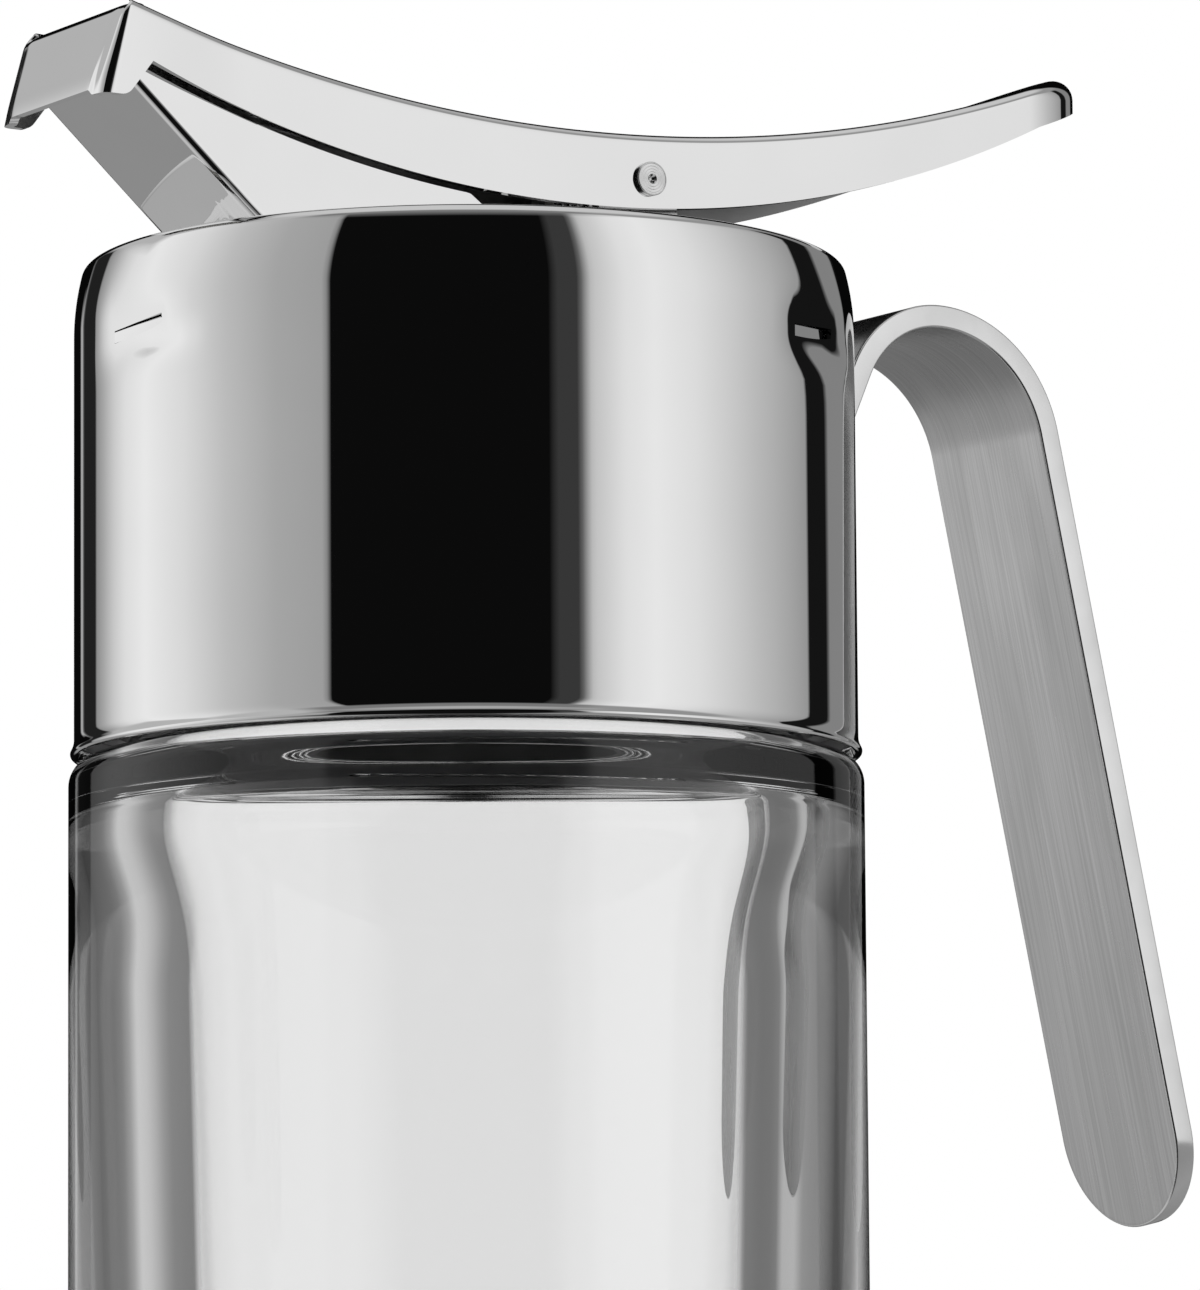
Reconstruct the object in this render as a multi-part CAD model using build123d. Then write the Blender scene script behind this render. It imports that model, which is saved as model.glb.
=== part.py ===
from build123d import *
import math
import os

# Honey dispenser: a thick glass jar under a tall steel collar. The collar carries an open spout, a lever
# that is the spout's lid at its front and a thumb rest at its rear, and a strip handle.
# Millimetres, +Z up. The origin is the middle of the jar's base. The spout points to -X and the handle
# to +X, and the Y = 0 plane is the plane of symmetry of everything but the tongues and the spring.

# Jar
jar_radius = 35.5
jar_wall_height = 81.4
jar_foot_radius = 3.0
jar_shoulder_radius = 2.6
jar_base_thickness = 8.0
jar_wall_low = 12.3
cavity_floor_corner = 8.0
jar_wall_high = 10.9
cavity_waist_height = 62.0
jar_wall_top = 8.5
cavity_top_height = 77.5
cavity_top_length = 1.7
neck_taper_length = 6.0
neck_wall = 5.0
neck_step = 5.2
neck_height = 15.0
neck_lip_round = 1.0

# Thread: three ridges on the neck and three lugs in the liner, on one lead
thread_lead = 15.0
thread_starts = 3
ridge_span = 86.0
ridge_height = 1.6
ridge_depth = 1.2
ridge_start_height = 6.2
lug_span = 24.0
lug_height = 1.5
lug_depth = 1.25
thread_axial_gap = 0.35
thread_radial_gap = 0.5
thread_root = 0.3

# Collar
collar_step = 0.5
collar_height = 44.0
sheet_thickness = 0.7
lip_flare = 0.3
lip_height = 1.6
crown_radius = 22.8
crown_angle = 14.0
crown_edge_radius = 1.05
tongue_azimuths = (183.5, 299.5, 61.5)
tongue_length = 7.7
tongue_slot_height = 1.15
tongue_side_gap = 0.15
tongue_drop = 8.3
tongue_thickness = 0.55

# Liner, seals and funnel inside the collar
seal_thickness = 2.0
seal_inset = 2.1
seal_width = 4.2
liner_gap = 0.1
liner_skirt_gap = 2.6
liner_disc_thickness = 2.2
liner_disc_width = 9.4
liner_upper_wall = 3.0
liner_top_gap = 0.3
liner_groove_depth = 1.7
liner_groove_height = 2.2
funnel_wall = 1.2
funnel_gap = 0.2
funnel_flange_thickness = 1.2
funnel_flange_width = 5.6
outlet_radius = 7.0
outlet_x = -13.0
outlet_rim_width = 2.6
gasket_thickness = 1.2

# Spout chute
chute_half_width = 7.8
chute_thickness = 0.7
chute_overhang = 3.6
chute_floor_inset = 10.3
chute_floor_angle = 41.7
chute_bend_radius = 0.8
chute_lid_gap = 0.5
chute_back_x = 0.6
chute_back_height = 2.2
chute_fall_x = -4.2

# Lever, which is the lid
lever_half_width = 8.9
lever_sheet = 0.8
lever_top_radius = 153.5
lever_top_centre_x = 5.65
lever_top_low_height = 12.4
lever_notch_depth = 4.81
lever_pivot_depth = 6.84
lever_end_depth = 3.88
lever_front_overhang = 4.6
lever_front_lean = 2.95
lever_tip_height = 10.5
lever_tip_length = 2.9
lever_notch_length = 5.35
lever_end_overhang = 31.5
lever_end_round = 9.7
lever_end_level = 8.4
lever_bend_radius = 1.0
lever_front_corner = 1.4
lid_edge_lift = 0.5
lid_edge_inset = 1.6

# Pivot
pivot_x = 14.2
pivot_height = 8.45
pin_radius = 1.0
pin_running_gap = 0.05
pin_head_radius = 1.55
pin_head_thickness = 0.45
pin_dimple_radius = 0.35
bracket_thickness = 1.0
ear_outer_half_width = 7.2
ear_top_radius = 3.0
bracket_front_x = 6.0
bracket_back_x = 22.4
ear_base_inset = 1.6
washer_radius = 2.3
sleeve_wall = 0.6
rivet_spacing = 10.0
rivet_radius = 1.0
rivet_head_radius = 1.8
rivet_head_height = 0.9

# Torsion spring
spring_wire = 0.6
spring_radius = 2.2
spring_turns = 6
spring_pitch = 1.1
spring_fixed_leg = 8.0
spring_moving_leg = 9.0
spring_moving_slope = 9.0
spring_fixed_slope = 17.5

# Mouth pad inside the lid
pad_half_width = 6.8
pad_gap = 0.35
pad_length = 1.7
pad_bottom_lift = 2.2
pad_back_depth = 2.1

# Handle
handle_half_width = 8.75
handle_thickness = 2.1
handle_reach = 11.4
handle_apex_drop = 0.15
handle_front_radius = 10.7
handle_back_radius = 13.8
handle_lean = 12.6
handle_root_turn = 66.0
handle_end_height = 43.8
handle_end_round = 8.6
tab_half_width = 5.5
tab_face_radius_gap = 0.6
tab_bottom_gap = 0.5
slot_gap = 0.15
collar_touch_gap = 0.05
backing_thickness = 1.1
backing_half_width = 6.2
screw_radius = 1.0
screw_head_radius = 1.8
screw_head_height = 0.8
screw_spacing = 6.0
screw_height = 2.9

# Levels and places worked out from the sizes above
collar_radius = jar_radius - collar_step
neck_radius = jar_radius - neck_step
neck_bore_radius = neck_radius - neck_wall
cavity_floor_radius = jar_radius - jar_wall_low
cavity_waist_radius = jar_radius - jar_wall_high
cavity_top_radius = jar_radius - jar_wall_top
seal_inner_radius = neck_bore_radius + seal_inset
chute_mouth_x = -collar_radius - chute_overhang
chute_floor_x = chute_floor_inset - collar_radius
lever_front_top_x = -collar_radius - lever_front_overhang
lever_front_bottom_x = lever_front_top_x - lever_front_lean
lever_notch_x = lever_front_bottom_x + lever_notch_length
lever_end_x = collar_radius + lever_end_overhang
lever_round_x = lever_end_x - lever_end_round
lever_level_x = lever_end_x - lever_end_level
pad_back_x = chute_mouth_x + pad_length
handle_apex_x = collar_radius + handle_reach
shoulder_z = jar_wall_height + jar_shoulder_radius
neck_top_z = shoulder_z + neck_height
rim_z = shoulder_z
collar_top_z = rim_z + collar_height
collar_under_z = collar_top_z - sheet_thickness
collar_inner_radius = collar_radius - sheet_thickness
liner_radius = collar_inner_radius - liner_gap
liner_disc_hole_radius = liner_radius - liner_disc_width
skirt_inner_radius = neck_radius + ridge_depth + thread_radial_gap
disc_z = neck_top_z + seal_thickness
disc_top_z = disc_z + liner_disc_thickness
ridge_z = shoulder_z + ridge_start_height
crown_start_z = (
    collar_top_z
    - crown_edge_radius * (1 - math.sin(math.radians(crown_angle)))
    - crown_radius * math.sin(math.radians(crown_angle))
)
tongue_z = crown_start_z - 2.0
gasket_z = collar_under_z - gasket_thickness
pivot_z = collar_top_z + pivot_height
lever_top_centre_z = collar_top_z + lever_top_low_height + lever_top_radius
tip_z = collar_top_z + lever_tip_height
flange_inner = lever_half_width - lever_sheet
ear_inner = ear_outer_half_width - bracket_thickness
washer_outer = flange_inner - pin_running_gap
handle_apex_z = collar_top_z - handle_apex_drop
deck_z = collar_top_z


def side_face(edges):
    """Face in the X-Z plane, from edges drawn as (x, z)."""
    return Plane.XZ * make_face(edges)


def side_polygon(*points):
    """Face in the X-Z plane with straight sides."""
    return Plane.XZ * make_face(Polyline(*points, close=True))


def slab(face, half_width):
    """Solid as thick as twice half_width, centred on Y = 0."""
    return extrude(face, amount=half_width, both=True)


def tube(outer, inner, bottom, top):
    """Upright ring between two radii and two heights."""
    ring = Pos(0, 0, bottom) * (Circle(outer) - Circle(inner))
    return extrude(ring, amount=top - bottom)


def cross_rod(radius, low_y, high_y, x, z):
    """Rod along Y from low_y to high_y."""
    return Plane(origin=(x, low_y, z), z_dir=(0, 1, 0)) * extrude(Circle(radius), amount=high_y - low_y)


def on_arc(centre_x, centre_z, radius, x):
    """Height of the lower half of a circle at x."""
    return centre_z - math.sqrt(radius**2 - (x - centre_x) ** 2)


def lever_top(x):
    """Height of the lever's top face."""
    return on_arc(lever_top_centre_x, lever_top_centre_z, lever_top_radius, x)


def edge_arc():
    """Centre and radius of the lower edge, from its depth at the notch, the pivot and the thumb end."""
    x1, x2, x3 = lever_notch_x, pivot_x, lever_level_x
    z1 = lever_top(x1) - lever_notch_depth
    z2 = lever_top(x2) - lever_pivot_depth
    z3 = lever_top(x3) - lever_end_depth
    run_a, rise_a = x2 - x1, z2 - z1
    run_b, rise_b = x3 - x1, z3 - z1
    square_a = (run_a**2 + rise_a**2) / 2
    square_b = (run_b**2 + rise_b**2) / 2
    cross = run_a * rise_b - run_b * rise_a
    across = (square_a * rise_b - square_b * rise_a) / cross
    up = (run_a * square_b - run_b * square_a) / cross
    return (x1 + across, z1 + up, math.hypot(across, up))


def lever_edge(x, below=0.0):
    """Height of the lever's lower edge, behind the notch, or of a line a little below it."""
    centre_x, centre_z, radius = edge_arc()
    return on_arc(centre_x, centre_z, radius + below, x)


def helical_bar(radius, depth, height, z, azimuth, span):
    """Short thread ridge. It runs from azimuth over span degrees, outwards from radius by depth."""
    rise = thread_lead * span / 360
    path = Helix(pitch=thread_lead, height=rise, radius=radius)
    half = height / 2
    shrink = 0.25 * height
    ring = Polyline(
        (0, -half), (depth, -half + shrink), (depth, half - shrink), (0, half), close=True
    )
    section = Plane(origin=path @ 0, x_dir=(1, 0, 0), z_dir=path % 0) * make_face(ring)
    bar = sweep(section, path=path, is_frenet=True)
    return Pos(0, 0, z) * Rot(0, 0, azimuth) * bar


def make_jar():
    """Thick glass jar. The cavity is drawn in towards its floor, as pressed glass is."""
    foot = jar_foot_radius
    outer = [
        Line((0, 0), (jar_radius - foot, 0)),
        RadiusArc((jar_radius - foot, 0), (jar_radius, foot), -foot),
        Line((jar_radius, foot), (jar_radius, jar_wall_height)),
        RadiusArc(
            (jar_radius, jar_wall_height),
            (jar_radius - jar_shoulder_radius, shoulder_z),
            -jar_shoulder_radius,
        ),
        Line((jar_radius - jar_shoulder_radius, shoulder_z), (neck_radius, shoulder_z)),
        Line((neck_radius, shoulder_z), (neck_radius, neck_top_z)),
        Line((neck_radius, neck_top_z), (0, neck_top_z)),
        Line((0, neck_top_z), (0, 0)),
    ]
    body = revolve(side_face(outer), Axis.Z)
    corner = cavity_floor_corner
    floor_z = jar_base_thickness
    waist = (cavity_waist_radius, cavity_waist_height)
    top = (cavity_top_radius, cavity_top_height)
    taper = (cavity_top_radius, cavity_top_height + cavity_top_length)
    bore = (neck_bore_radius, cavity_top_height + cavity_top_length + neck_taper_length)
    wall = Line((cavity_floor_radius, floor_z + corner), waist)
    inner = [
        Line((0, floor_z), (cavity_floor_radius - corner, floor_z)),
        RadiusArc(
            (cavity_floor_radius - corner, floor_z), (cavity_floor_radius, floor_z + corner), -corner
        ),
        wall,
        Spline(waist, top, tangents=[wall % 1, (0, 1)]),
        Line(top, taper),
        Spline(taper, bore, tangents=[(0, 1), (0, 1)]),
        Line(bore, (neck_bore_radius, neck_top_z + 1)),
        Line((neck_bore_radius, neck_top_z + 1), (0, neck_top_z + 1)),
        Line((0, neck_top_z + 1), (0, floor_z)),
    ]
    jar = body - revolve(side_face(inner), Axis.Z)
    lip = jar.edges().filter_by(GeomType.CIRCLE).filter_by_position(Axis.Z, neck_top_z, neck_top_z)
    jar = fillet(lip, neck_lip_round)
    for start in range(thread_starts):
        ridge = helical_bar(
            neck_radius - thread_root,
            ridge_depth + thread_root,
            ridge_height,
            ridge_z,
            start * 360 / thread_starts,
            ridge_span,
        )
        jar += ridge
    return jar


def collar_profile(inset):
    """Outline of the collar, moved inwards by inset, and closed along the axis."""
    turn = math.radians(crown_angle)
    radius = collar_radius - inset
    crown = crown_radius - inset
    edge = crown_edge_radius - inset
    lip_x = radius + lip_flare
    crown_end = (radius - crown * (1 - math.cos(turn)), crown_start_z + crown * math.sin(turn))
    top = (crown_end[0] - edge * math.cos(turn), crown_end[1] + edge * (1 - math.sin(turn)))
    return [
        Line((0, rim_z), (lip_x, rim_z)),
        ThreePointArc(
            (lip_x, rim_z), (radius + lip_flare / 4, rim_z + lip_height / 2), (radius, rim_z + lip_height)
        ),
        Line((radius, rim_z + lip_height), (radius, crown_start_z)),
        RadiusArc((radius, crown_start_z), crown_end, -crown),
        RadiusArc(crown_end, top, -edge),
        Line(top, (0, top[1])),
        Line((0, top[1]), (0, rim_z)),
    ]


def tongue_frame(azimuth):
    """Place of a tongue: X along the wall, Y outwards, Z up, on the collar's outer face."""
    return Rot(0, 0, azimuth - 90) * Pos(0, collar_radius, tongue_z)


def make_collar():
    """Drawn steel collar with its three tongues, the outlet hole and the handle's slot."""
    shell = revolve(side_face(collar_profile(0)), Axis.Z)
    hollow = revolve(side_face(collar_profile(sheet_thickness)), Axis.Z)
    collar = shell - hollow
    half = tongue_length / 2
    sag = half**2 / (2 * collar_radius)
    drop = tongue_length * math.tan(math.radians(tongue_drop))
    for azimuth in tongue_azimuths:
        place = tongue_frame(azimuth)
        collar -= place * Box(tongue_length, 4 * sheet_thickness, tongue_slot_height)
        root = half + tongue_slot_height / 2
        blade = Polyline(
            (root, -sag - 0.1),
            (-half + tongue_side_gap, -sag - drop),
            (-half + tongue_side_gap, -sag - drop - tongue_thickness),
            (root, -sag - 0.1 - tongue_thickness),
            close=True,
        )
        height = tongue_slot_height - 2 * tongue_side_gap
        collar += place * Pos(0, 0, -height / 2) * extrude(make_face(blade), amount=height)
    collar -= Pos(outlet_x, 0, collar_under_z) * Cylinder(outlet_radius, 4 * sheet_thickness)
    for x in rivet_places():
        collar -= Pos(x, 0, collar_under_z) * Cylinder(rivet_radius, 4 * sheet_thickness)
    slot = slab(side_face(root_edges(slot_gap)), tab_half_width + slot_gap)
    return collar - slot


def make_liner():
    """Plastic liner: a skirt with thread lugs, a disc over the seal and a groove for the tongues."""
    top_z = crown_start_z - liner_top_gap
    skirt = tube(liner_radius, skirt_inner_radius, rim_z + liner_skirt_gap, disc_z)
    disc = tube(liner_radius, liner_disc_hole_radius, disc_z, disc_top_z)
    upper = tube(liner_radius, liner_radius - liner_upper_wall, disc_top_z, top_z)
    liner = skirt + disc + upper
    groove = tube(
        liner_radius + 1,
        liner_radius - liner_groove_depth,
        tongue_z - liner_groove_height / 2,
        tongue_z + liner_groove_height / 2,
    )
    liner -= groove
    low_centre = ridge_z - ridge_height / 2 - thread_axial_gap - lug_height / 2
    for start in range(thread_starts):
        liner += helical_lug(low_centre, start * 360 / thread_starts)
    window_half = backing_half_width + 2 * slot_gap + 0.6
    window = Pos(0, -window_half, disc_top_z) * Box(
        liner_radius + 2, 2 * window_half, top_z - disc_top_z - 1.5, align=(Align.MIN, Align.MIN, Align.MIN)
    )
    return liner - window


def helical_lug(z, azimuth):
    """Thread lug that points inwards from the liner's skirt, on the ridges' lead."""
    reach = skirt_inner_radius - lug_depth
    lug = helical_bar(reach, lug_depth + thread_root, lug_height, z, azimuth, lug_span)
    return lug


def make_seal():
    """Flat silicone ring on the neck's rim."""
    return tube(seal_inner_radius + seal_width, seal_inner_radius, neck_top_z, disc_z)


def make_funnel():
    """Plastic funnel from the liner's disc up to the outlet."""
    low_radius = liner_disc_hole_radius - funnel_gap
    flange_top = disc_top_z + funnel_flange_thickness
    flange = tube(low_radius + funnel_flange_width, low_radius - funnel_wall / 2, disc_top_z, flange_top)
    high_radius = outlet_radius + funnel_wall
    high = Pos(outlet_x, 0, gasket_z)
    skin = loft([Pos(0, 0, disc_top_z) * Circle(low_radius), high * Circle(high_radius)], ruled=True)
    bore = loft(
        [Pos(0, 0, disc_top_z) * Circle(low_radius - funnel_wall), high * Circle(outlet_radius)],
        ruled=True,
    )
    rim = Pos(outlet_x, 0, gasket_z - funnel_wall) * extrude(
        Circle(outlet_radius + outlet_rim_width), amount=funnel_wall
    )
    return flange + (skin + rim) - bore


def make_gasket():
    """Silicone ring between the funnel and the collar's top."""
    ring = Circle(outlet_radius + outlet_rim_width) - Circle(outlet_radius)
    return Pos(outlet_x, 0, gasket_z) * extrude(ring, amount=gasket_thickness)


def chute_outline(inset, over):
    """Side outline of the chute, moved inwards by inset, with its open top raised by over."""
    slope = math.tan(math.radians(chute_floor_angle))
    lift = inset / math.cos(math.radians(chute_floor_angle))
    floor_z = deck_z + inset
    floor_x = chute_floor_x + (lift - inset) / slope
    back_x = chute_back_x - inset
    mouth_x = chute_mouth_x - (2.0 if inset else 0.0)
    mouth_z = deck_z + (chute_floor_x - mouth_x) * slope + lift
    gap = chute_lid_gap - over
    top_x = mouth_x
    top_z = max(lever_edge(top_x, gap), mouth_z + 0.4)
    fall_z = lever_edge(chute_fall_x, gap)
    middle_x = (top_x + chute_fall_x) / 2
    middle_z = lever_edge(middle_x, gap)
    back_z = deck_z + chute_back_height + over
    return [
        Line((floor_x, floor_z), (mouth_x, mouth_z)),
        Line((mouth_x, mouth_z), (top_x, top_z)),
        ThreePointArc((top_x, top_z), (middle_x, middle_z), (chute_fall_x, fall_z)),
        Line((chute_fall_x, fall_z), (back_x, back_z)),
        Line((back_x, back_z), (back_x, floor_z)),
        Line((back_x, floor_z), (floor_x, floor_z)),
    ]


def make_chute():
    """Open spout: floor, two side walls, a low back and a base with the outlet hole."""
    body = slab(side_face(chute_outline(0, 0)), chute_half_width)
    slope = math.radians(chute_floor_angle)
    long_edges = [
        edge
        for edge in body.edges().filter_by(GeomType.LINE)
        if abs(edge.center().Y) > chute_half_width - 0.01
        and abs((edge % 0).Z) > 0.9 * math.sin(slope)
        and edge.length > 5
    ]
    body = fillet(long_edges, chute_bend_radius)
    inside = slab(side_face(chute_outline(chute_thickness, 4.0)), chute_half_width - chute_thickness)
    chute = body - inside
    return chute - Pos(outlet_x, 0, deck_z) * Cylinder(outlet_radius, 4 * chute_thickness)


def rivet_places():
    """X of the two rivets that hold the bracket."""
    middle = (bracket_front_x + bracket_back_x) / 2
    return (middle - rivet_spacing / 2, middle + rivet_spacing / 2)


def make_bracket():
    """Bracket with two ears that carry the pin."""
    base = slab(
        side_polygon(
            (bracket_front_x, deck_z),
            (bracket_back_x, deck_z),
            (bracket_back_x, deck_z + bracket_thickness),
            (bracket_front_x, deck_z + bracket_thickness),
        ),
        ear_outer_half_width,
    )
    profile = side_polygon(
        (bracket_front_x + ear_base_inset, deck_z),
        (bracket_back_x - ear_base_inset, deck_z),
        (pivot_x + ear_top_radius, pivot_z),
        (pivot_x - ear_top_radius, pivot_z),
    )
    ears = slab(profile, ear_outer_half_width)
    ears += cross_rod(ear_top_radius, -ear_outer_half_width, ear_outer_half_width, pivot_x, pivot_z)
    ears -= Pos(pivot_x, 0, pivot_z) * Box(60, 2 * ear_inner, 60)
    bracket = base + ears
    bracket -= cross_rod(pin_radius, -lever_half_width, lever_half_width, pivot_x, pivot_z)
    for x in rivet_places():
        bracket -= Pos(x, 0, deck_z) * Cylinder(rivet_radius, 4 * bracket_thickness)
    return bracket


def make_rivet(which):
    """Rivet through the bracket's base and the collar's top: 0 is the front one and 1 the back one."""
    x = rivet_places()[which]
    low = collar_under_z - rivet_head_height
    high = deck_z + bracket_thickness
    shank = Pos(x, 0, low) * extrude(Circle(rivet_radius), amount=high - low)
    lower = Pos(x, 0, low) * extrude(Circle(rivet_head_radius), amount=rivet_head_height)
    upper = Pos(x, 0, high) * extrude(Circle(rivet_head_radius), amount=rivet_head_height)
    return shank + lower + upper


def make_pin():
    """Rivet pin with a flat head on each side, each with a turned dimple."""
    head_y = lever_half_width + pin_running_gap
    pin = cross_rod(pin_radius, -head_y, head_y, pivot_x, pivot_z)
    pin += cross_rod(pin_head_radius, -head_y - pin_head_thickness, -head_y, pivot_x, pivot_z)
    pin += cross_rod(pin_head_radius, head_y, head_y + pin_head_thickness, pivot_x, pivot_z)
    for side in (-1, 1):
        face_y = side * (head_y + pin_head_thickness)
        dimple = Plane(origin=(pivot_x, face_y, pivot_z), z_dir=(0, side, 0)) * Sphere(pin_dimple_radius)
        pin -= dimple
    return pin


def make_washer(side):
    """Washer between an ear and the lever's flange."""
    ends = sorted((side * ear_outer_half_width, side * washer_outer))
    washer = cross_rod(washer_radius, ends[0], ends[1], pivot_x, pivot_z)
    return washer - cross_rod(pin_radius, ends[0], ends[1], pivot_x, pivot_z)


def make_sleeve():
    """Sleeve on the pin, between the ears, inside the spring."""
    sleeve = cross_rod(pin_radius + sleeve_wall, -ear_inner, ear_inner, pivot_x, pivot_z)
    return sleeve - cross_rod(pin_radius, -ear_inner, ear_inner, pivot_x, pivot_z)


def make_spring():
    """Torsion spring: one unbroken wire with a leg on the bracket and a leg under the lever."""
    start = 180 - spring_fixed_slope
    turned = start - (90 + spring_moving_slope) + 360 * spring_turns
    height = spring_pitch * turned / 360
    coil = Helix(pitch=spring_pitch, height=height, radius=spring_radius)
    first = coil @ 0 - (coil % 0) * spring_fixed_leg
    last = coil @ 1 + (coil % 1) * spring_moving_leg
    path = Wire([Line(first, coil @ 0).edge(), coil.edge(), Line(coil @ 1, last).edge()])
    section = Plane(origin=first, z_dir=coil % 0) * Circle(spring_wire / 2)
    wire = sweep(section, path=path)
    place = Plane(
        origin=(pivot_x, -height / 2, pivot_z),
        x_dir=(math.cos(math.radians(start)), 0, math.sin(math.radians(start))),
        z_dir=(0, 1, 0),
    )
    print("spring least gap to itself", round(spring_pitch - spring_wire, 2))
    return place.location * wire


def lever_outline():
    """Side outline of the lever, with the lid's tip at its front. At its end the skirt is even in depth."""
    front_top = (lever_front_top_x, lever_top(lever_front_top_x))
    front_bottom = (lever_front_bottom_x, tip_z)
    tip_back = (lever_front_bottom_x + lever_tip_length, tip_z)
    notch = (lever_notch_x, lever_edge(lever_notch_x))
    level = (lever_level_x, lever_top(lever_level_x) - lever_end_depth)
    end_bottom = (lever_end_x, lever_top(lever_end_x) - lever_end_depth)
    end_top = (lever_end_x, lever_top(lever_end_x))
    face = make_face(
        [
            ThreePointArc(front_top, (pivot_x, lever_top(pivot_x)), end_top),
            Line(end_top, end_bottom),
            RadiusArc(end_bottom, level, lever_top_radius),
            ThreePointArc(level, (pivot_x, lever_edge(pivot_x)), notch),
            Line(notch, tip_back),
            Line(tip_back, front_bottom),
            Line(front_bottom, front_top),
        ]
    )
    return fillet(face.vertices().sort_by_distance(front_top)[0], lever_front_corner)


def lever_plan(inset):
    """Upright block with the lever's outline from above, moved inwards by inset: its end is half an oval."""
    half = lever_half_width - inset
    front_x = lever_front_bottom_x - 1
    outline = [
        Line((front_x, -half), (lever_round_x, -half)),
        EllipticalCenterArc((lever_round_x, 0), lever_end_round - inset, half, start_angle=-90, arc_size=180),
        Line((lever_round_x, half), (front_x, half)),
        Line((front_x, half), (front_x, -half)),
    ]
    height = lever_top(lever_end_x) + 1 - deck_z
    return Pos(0, 0, deck_z) * extrude(make_face(outline), amount=height)


def front_run():
    """Lean of the front plate: X gained for each millimetre of height."""
    return (lever_front_top_x - lever_front_bottom_x) / (lever_top(lever_front_top_x) - tip_z)


def plate_inner_x(z):
    """X of the front plate's inner face at a height."""
    return lever_front_bottom_x + lever_sheet * math.hypot(1, front_run()) + (z - tip_z) * front_run()


def roof_under(x):
    """Height of the roof's inner face."""
    return on_arc(lever_top_centre_x, lever_top_centre_z, lever_top_radius + lever_sheet, x)


def inner_front_corner():
    """Place where the front plate's inner face meets the roof's inner face."""
    z = roof_under(lever_front_top_x)
    for _ in range(6):
        z = roof_under(plate_inner_x(z))
    return (plate_inner_x(z), z)


def lever_hollow():
    """Side outline of the space inside the lever, open downwards."""
    low_z = deck_z + 1
    back_x = lever_end_x
    front = inner_front_corner()
    low_front = (plate_inner_x(low_z), low_z)
    return [
        ThreePointArc(front, (pivot_x, roof_under(pivot_x)), (back_x, roof_under(back_x))),
        Line((back_x, roof_under(back_x)), (back_x, low_z)),
        Line((back_x, low_z), low_front),
        Line(low_front, front),
    ]


def make_lever():
    """Lever of bent sheet: a roof with a skirt along both sides and round the thumb end, and the lid."""
    body = slab(Plane.XZ * lever_outline(), lever_half_width) & lever_plan(0)
    body = fillet([edge for edge in body.edges() if outside_edge(edge)], lever_bend_radius)
    hollow = slab(side_face(lever_hollow()), flange_inner) & lever_plan(lever_sheet)
    lever = body - hollow
    gap_width = lever_half_width - lid_edge_inset
    lever -= Pos(lever_front_bottom_x, 0, tip_z) * Box(6 * lever_sheet, 2 * gap_width, 2 * lid_edge_lift)
    hole = cross_rod(
        pin_radius + pin_running_gap, -lever_half_width - 1, lever_half_width + 1, pivot_x, pivot_z
    )
    return lever - hole


def outside_edge(edge):
    """True for the side edges of the roof and the front plate, and the roof's edge at the thumb end."""
    middle = edge @ 0.5
    on_side = abs(abs(edge.center().Y) - lever_half_width) < 0.01
    if not on_side and middle.X < lever_round_x:
        return False
    plate_x = lever_front_bottom_x + (middle.Z - tip_z) * front_run()
    on_plate = middle.Z > tip_z + 0.1 and middle.X < plate_x + lever_sheet
    return on_plate or abs(middle.Z - lever_top(middle.X)) < lever_sheet


def make_pad():
    """Silicone pad inside the lid's tip. It closes the spout's mouth."""
    low_z = tip_z + pad_bottom_lift
    slope = math.tan(math.radians(chute_floor_angle))
    floor = chute_thickness / math.cos(math.radians(chute_floor_angle))
    under = deck_z + (chute_floor_x - chute_mouth_x) * slope + floor + 2 * pad_gap
    front = inner_front_corner()
    back = (pad_back_x, roof_under(pad_back_x))
    back_z = max(under, back[1] - pad_back_depth)
    middle_x = (front[0] + pad_back_x) / 2
    outline = [
        Line((plate_inner_x(low_z), low_z), front),
        ThreePointArc(front, (middle_x, roof_under(middle_x)), back),
        Line(back, (pad_back_x, back_z)),
        Line((pad_back_x, back_z), (chute_mouth_x - pad_gap, under)),
        Line((chute_mouth_x - pad_gap, under), (chute_mouth_x - pad_gap, low_z)),
        Line((chute_mouth_x - pad_gap, low_z), (plate_inner_x(low_z), low_z)),
    ]
    return slab(side_face(outline), pad_half_width)


def strip_point(offset, turn):
    """Point of the arch, offset from its outer face, turned from the apex (degrees, - to the front)."""
    radius = handle_back_radius if turn >= 0 else handle_front_radius
    centre_z = handle_apex_z - radius
    angle = math.radians(90 - turn)
    reach = radius - offset
    return (handle_apex_x + reach * math.cos(angle), centre_z + reach * math.sin(angle))


def root_edges(grow=0.0):
    """Straight root of the strip, which leans into the collar, grown by grow on each side."""
    outer = strip_point(-grow, -handle_root_turn)
    inner = strip_point(handle_thickness + grow, -handle_root_turn)
    direction = math.radians(handle_root_turn)
    step = (-math.cos(direction), -math.sin(direction))
    mid_x = (outer[0] + inner[0]) / 2
    reach = (mid_x - tab_middle_x()) / math.cos(direction)
    low_outer = (outer[0] + reach * step[0], outer[1] + reach * step[1])
    low_inner = (inner[0] + reach * step[0], inner[1] + reach * step[1])
    return [
        Line(outer, inner),
        Line(inner, low_inner),
        Line(low_inner, low_outer),
        Line(low_outer, outer),
    ]


def tab_middle_x():
    """Middle of the tab, which lies flat inside the collar."""
    face = math.sqrt(collar_inner_radius**2 - tab_half_width**2) - tab_face_radius_gap / 4
    return face - handle_thickness / 2


def tab_low_z():
    """Lower end of the handle's tab."""
    return disc_top_z + funnel_flange_thickness + tab_bottom_gap


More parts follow.
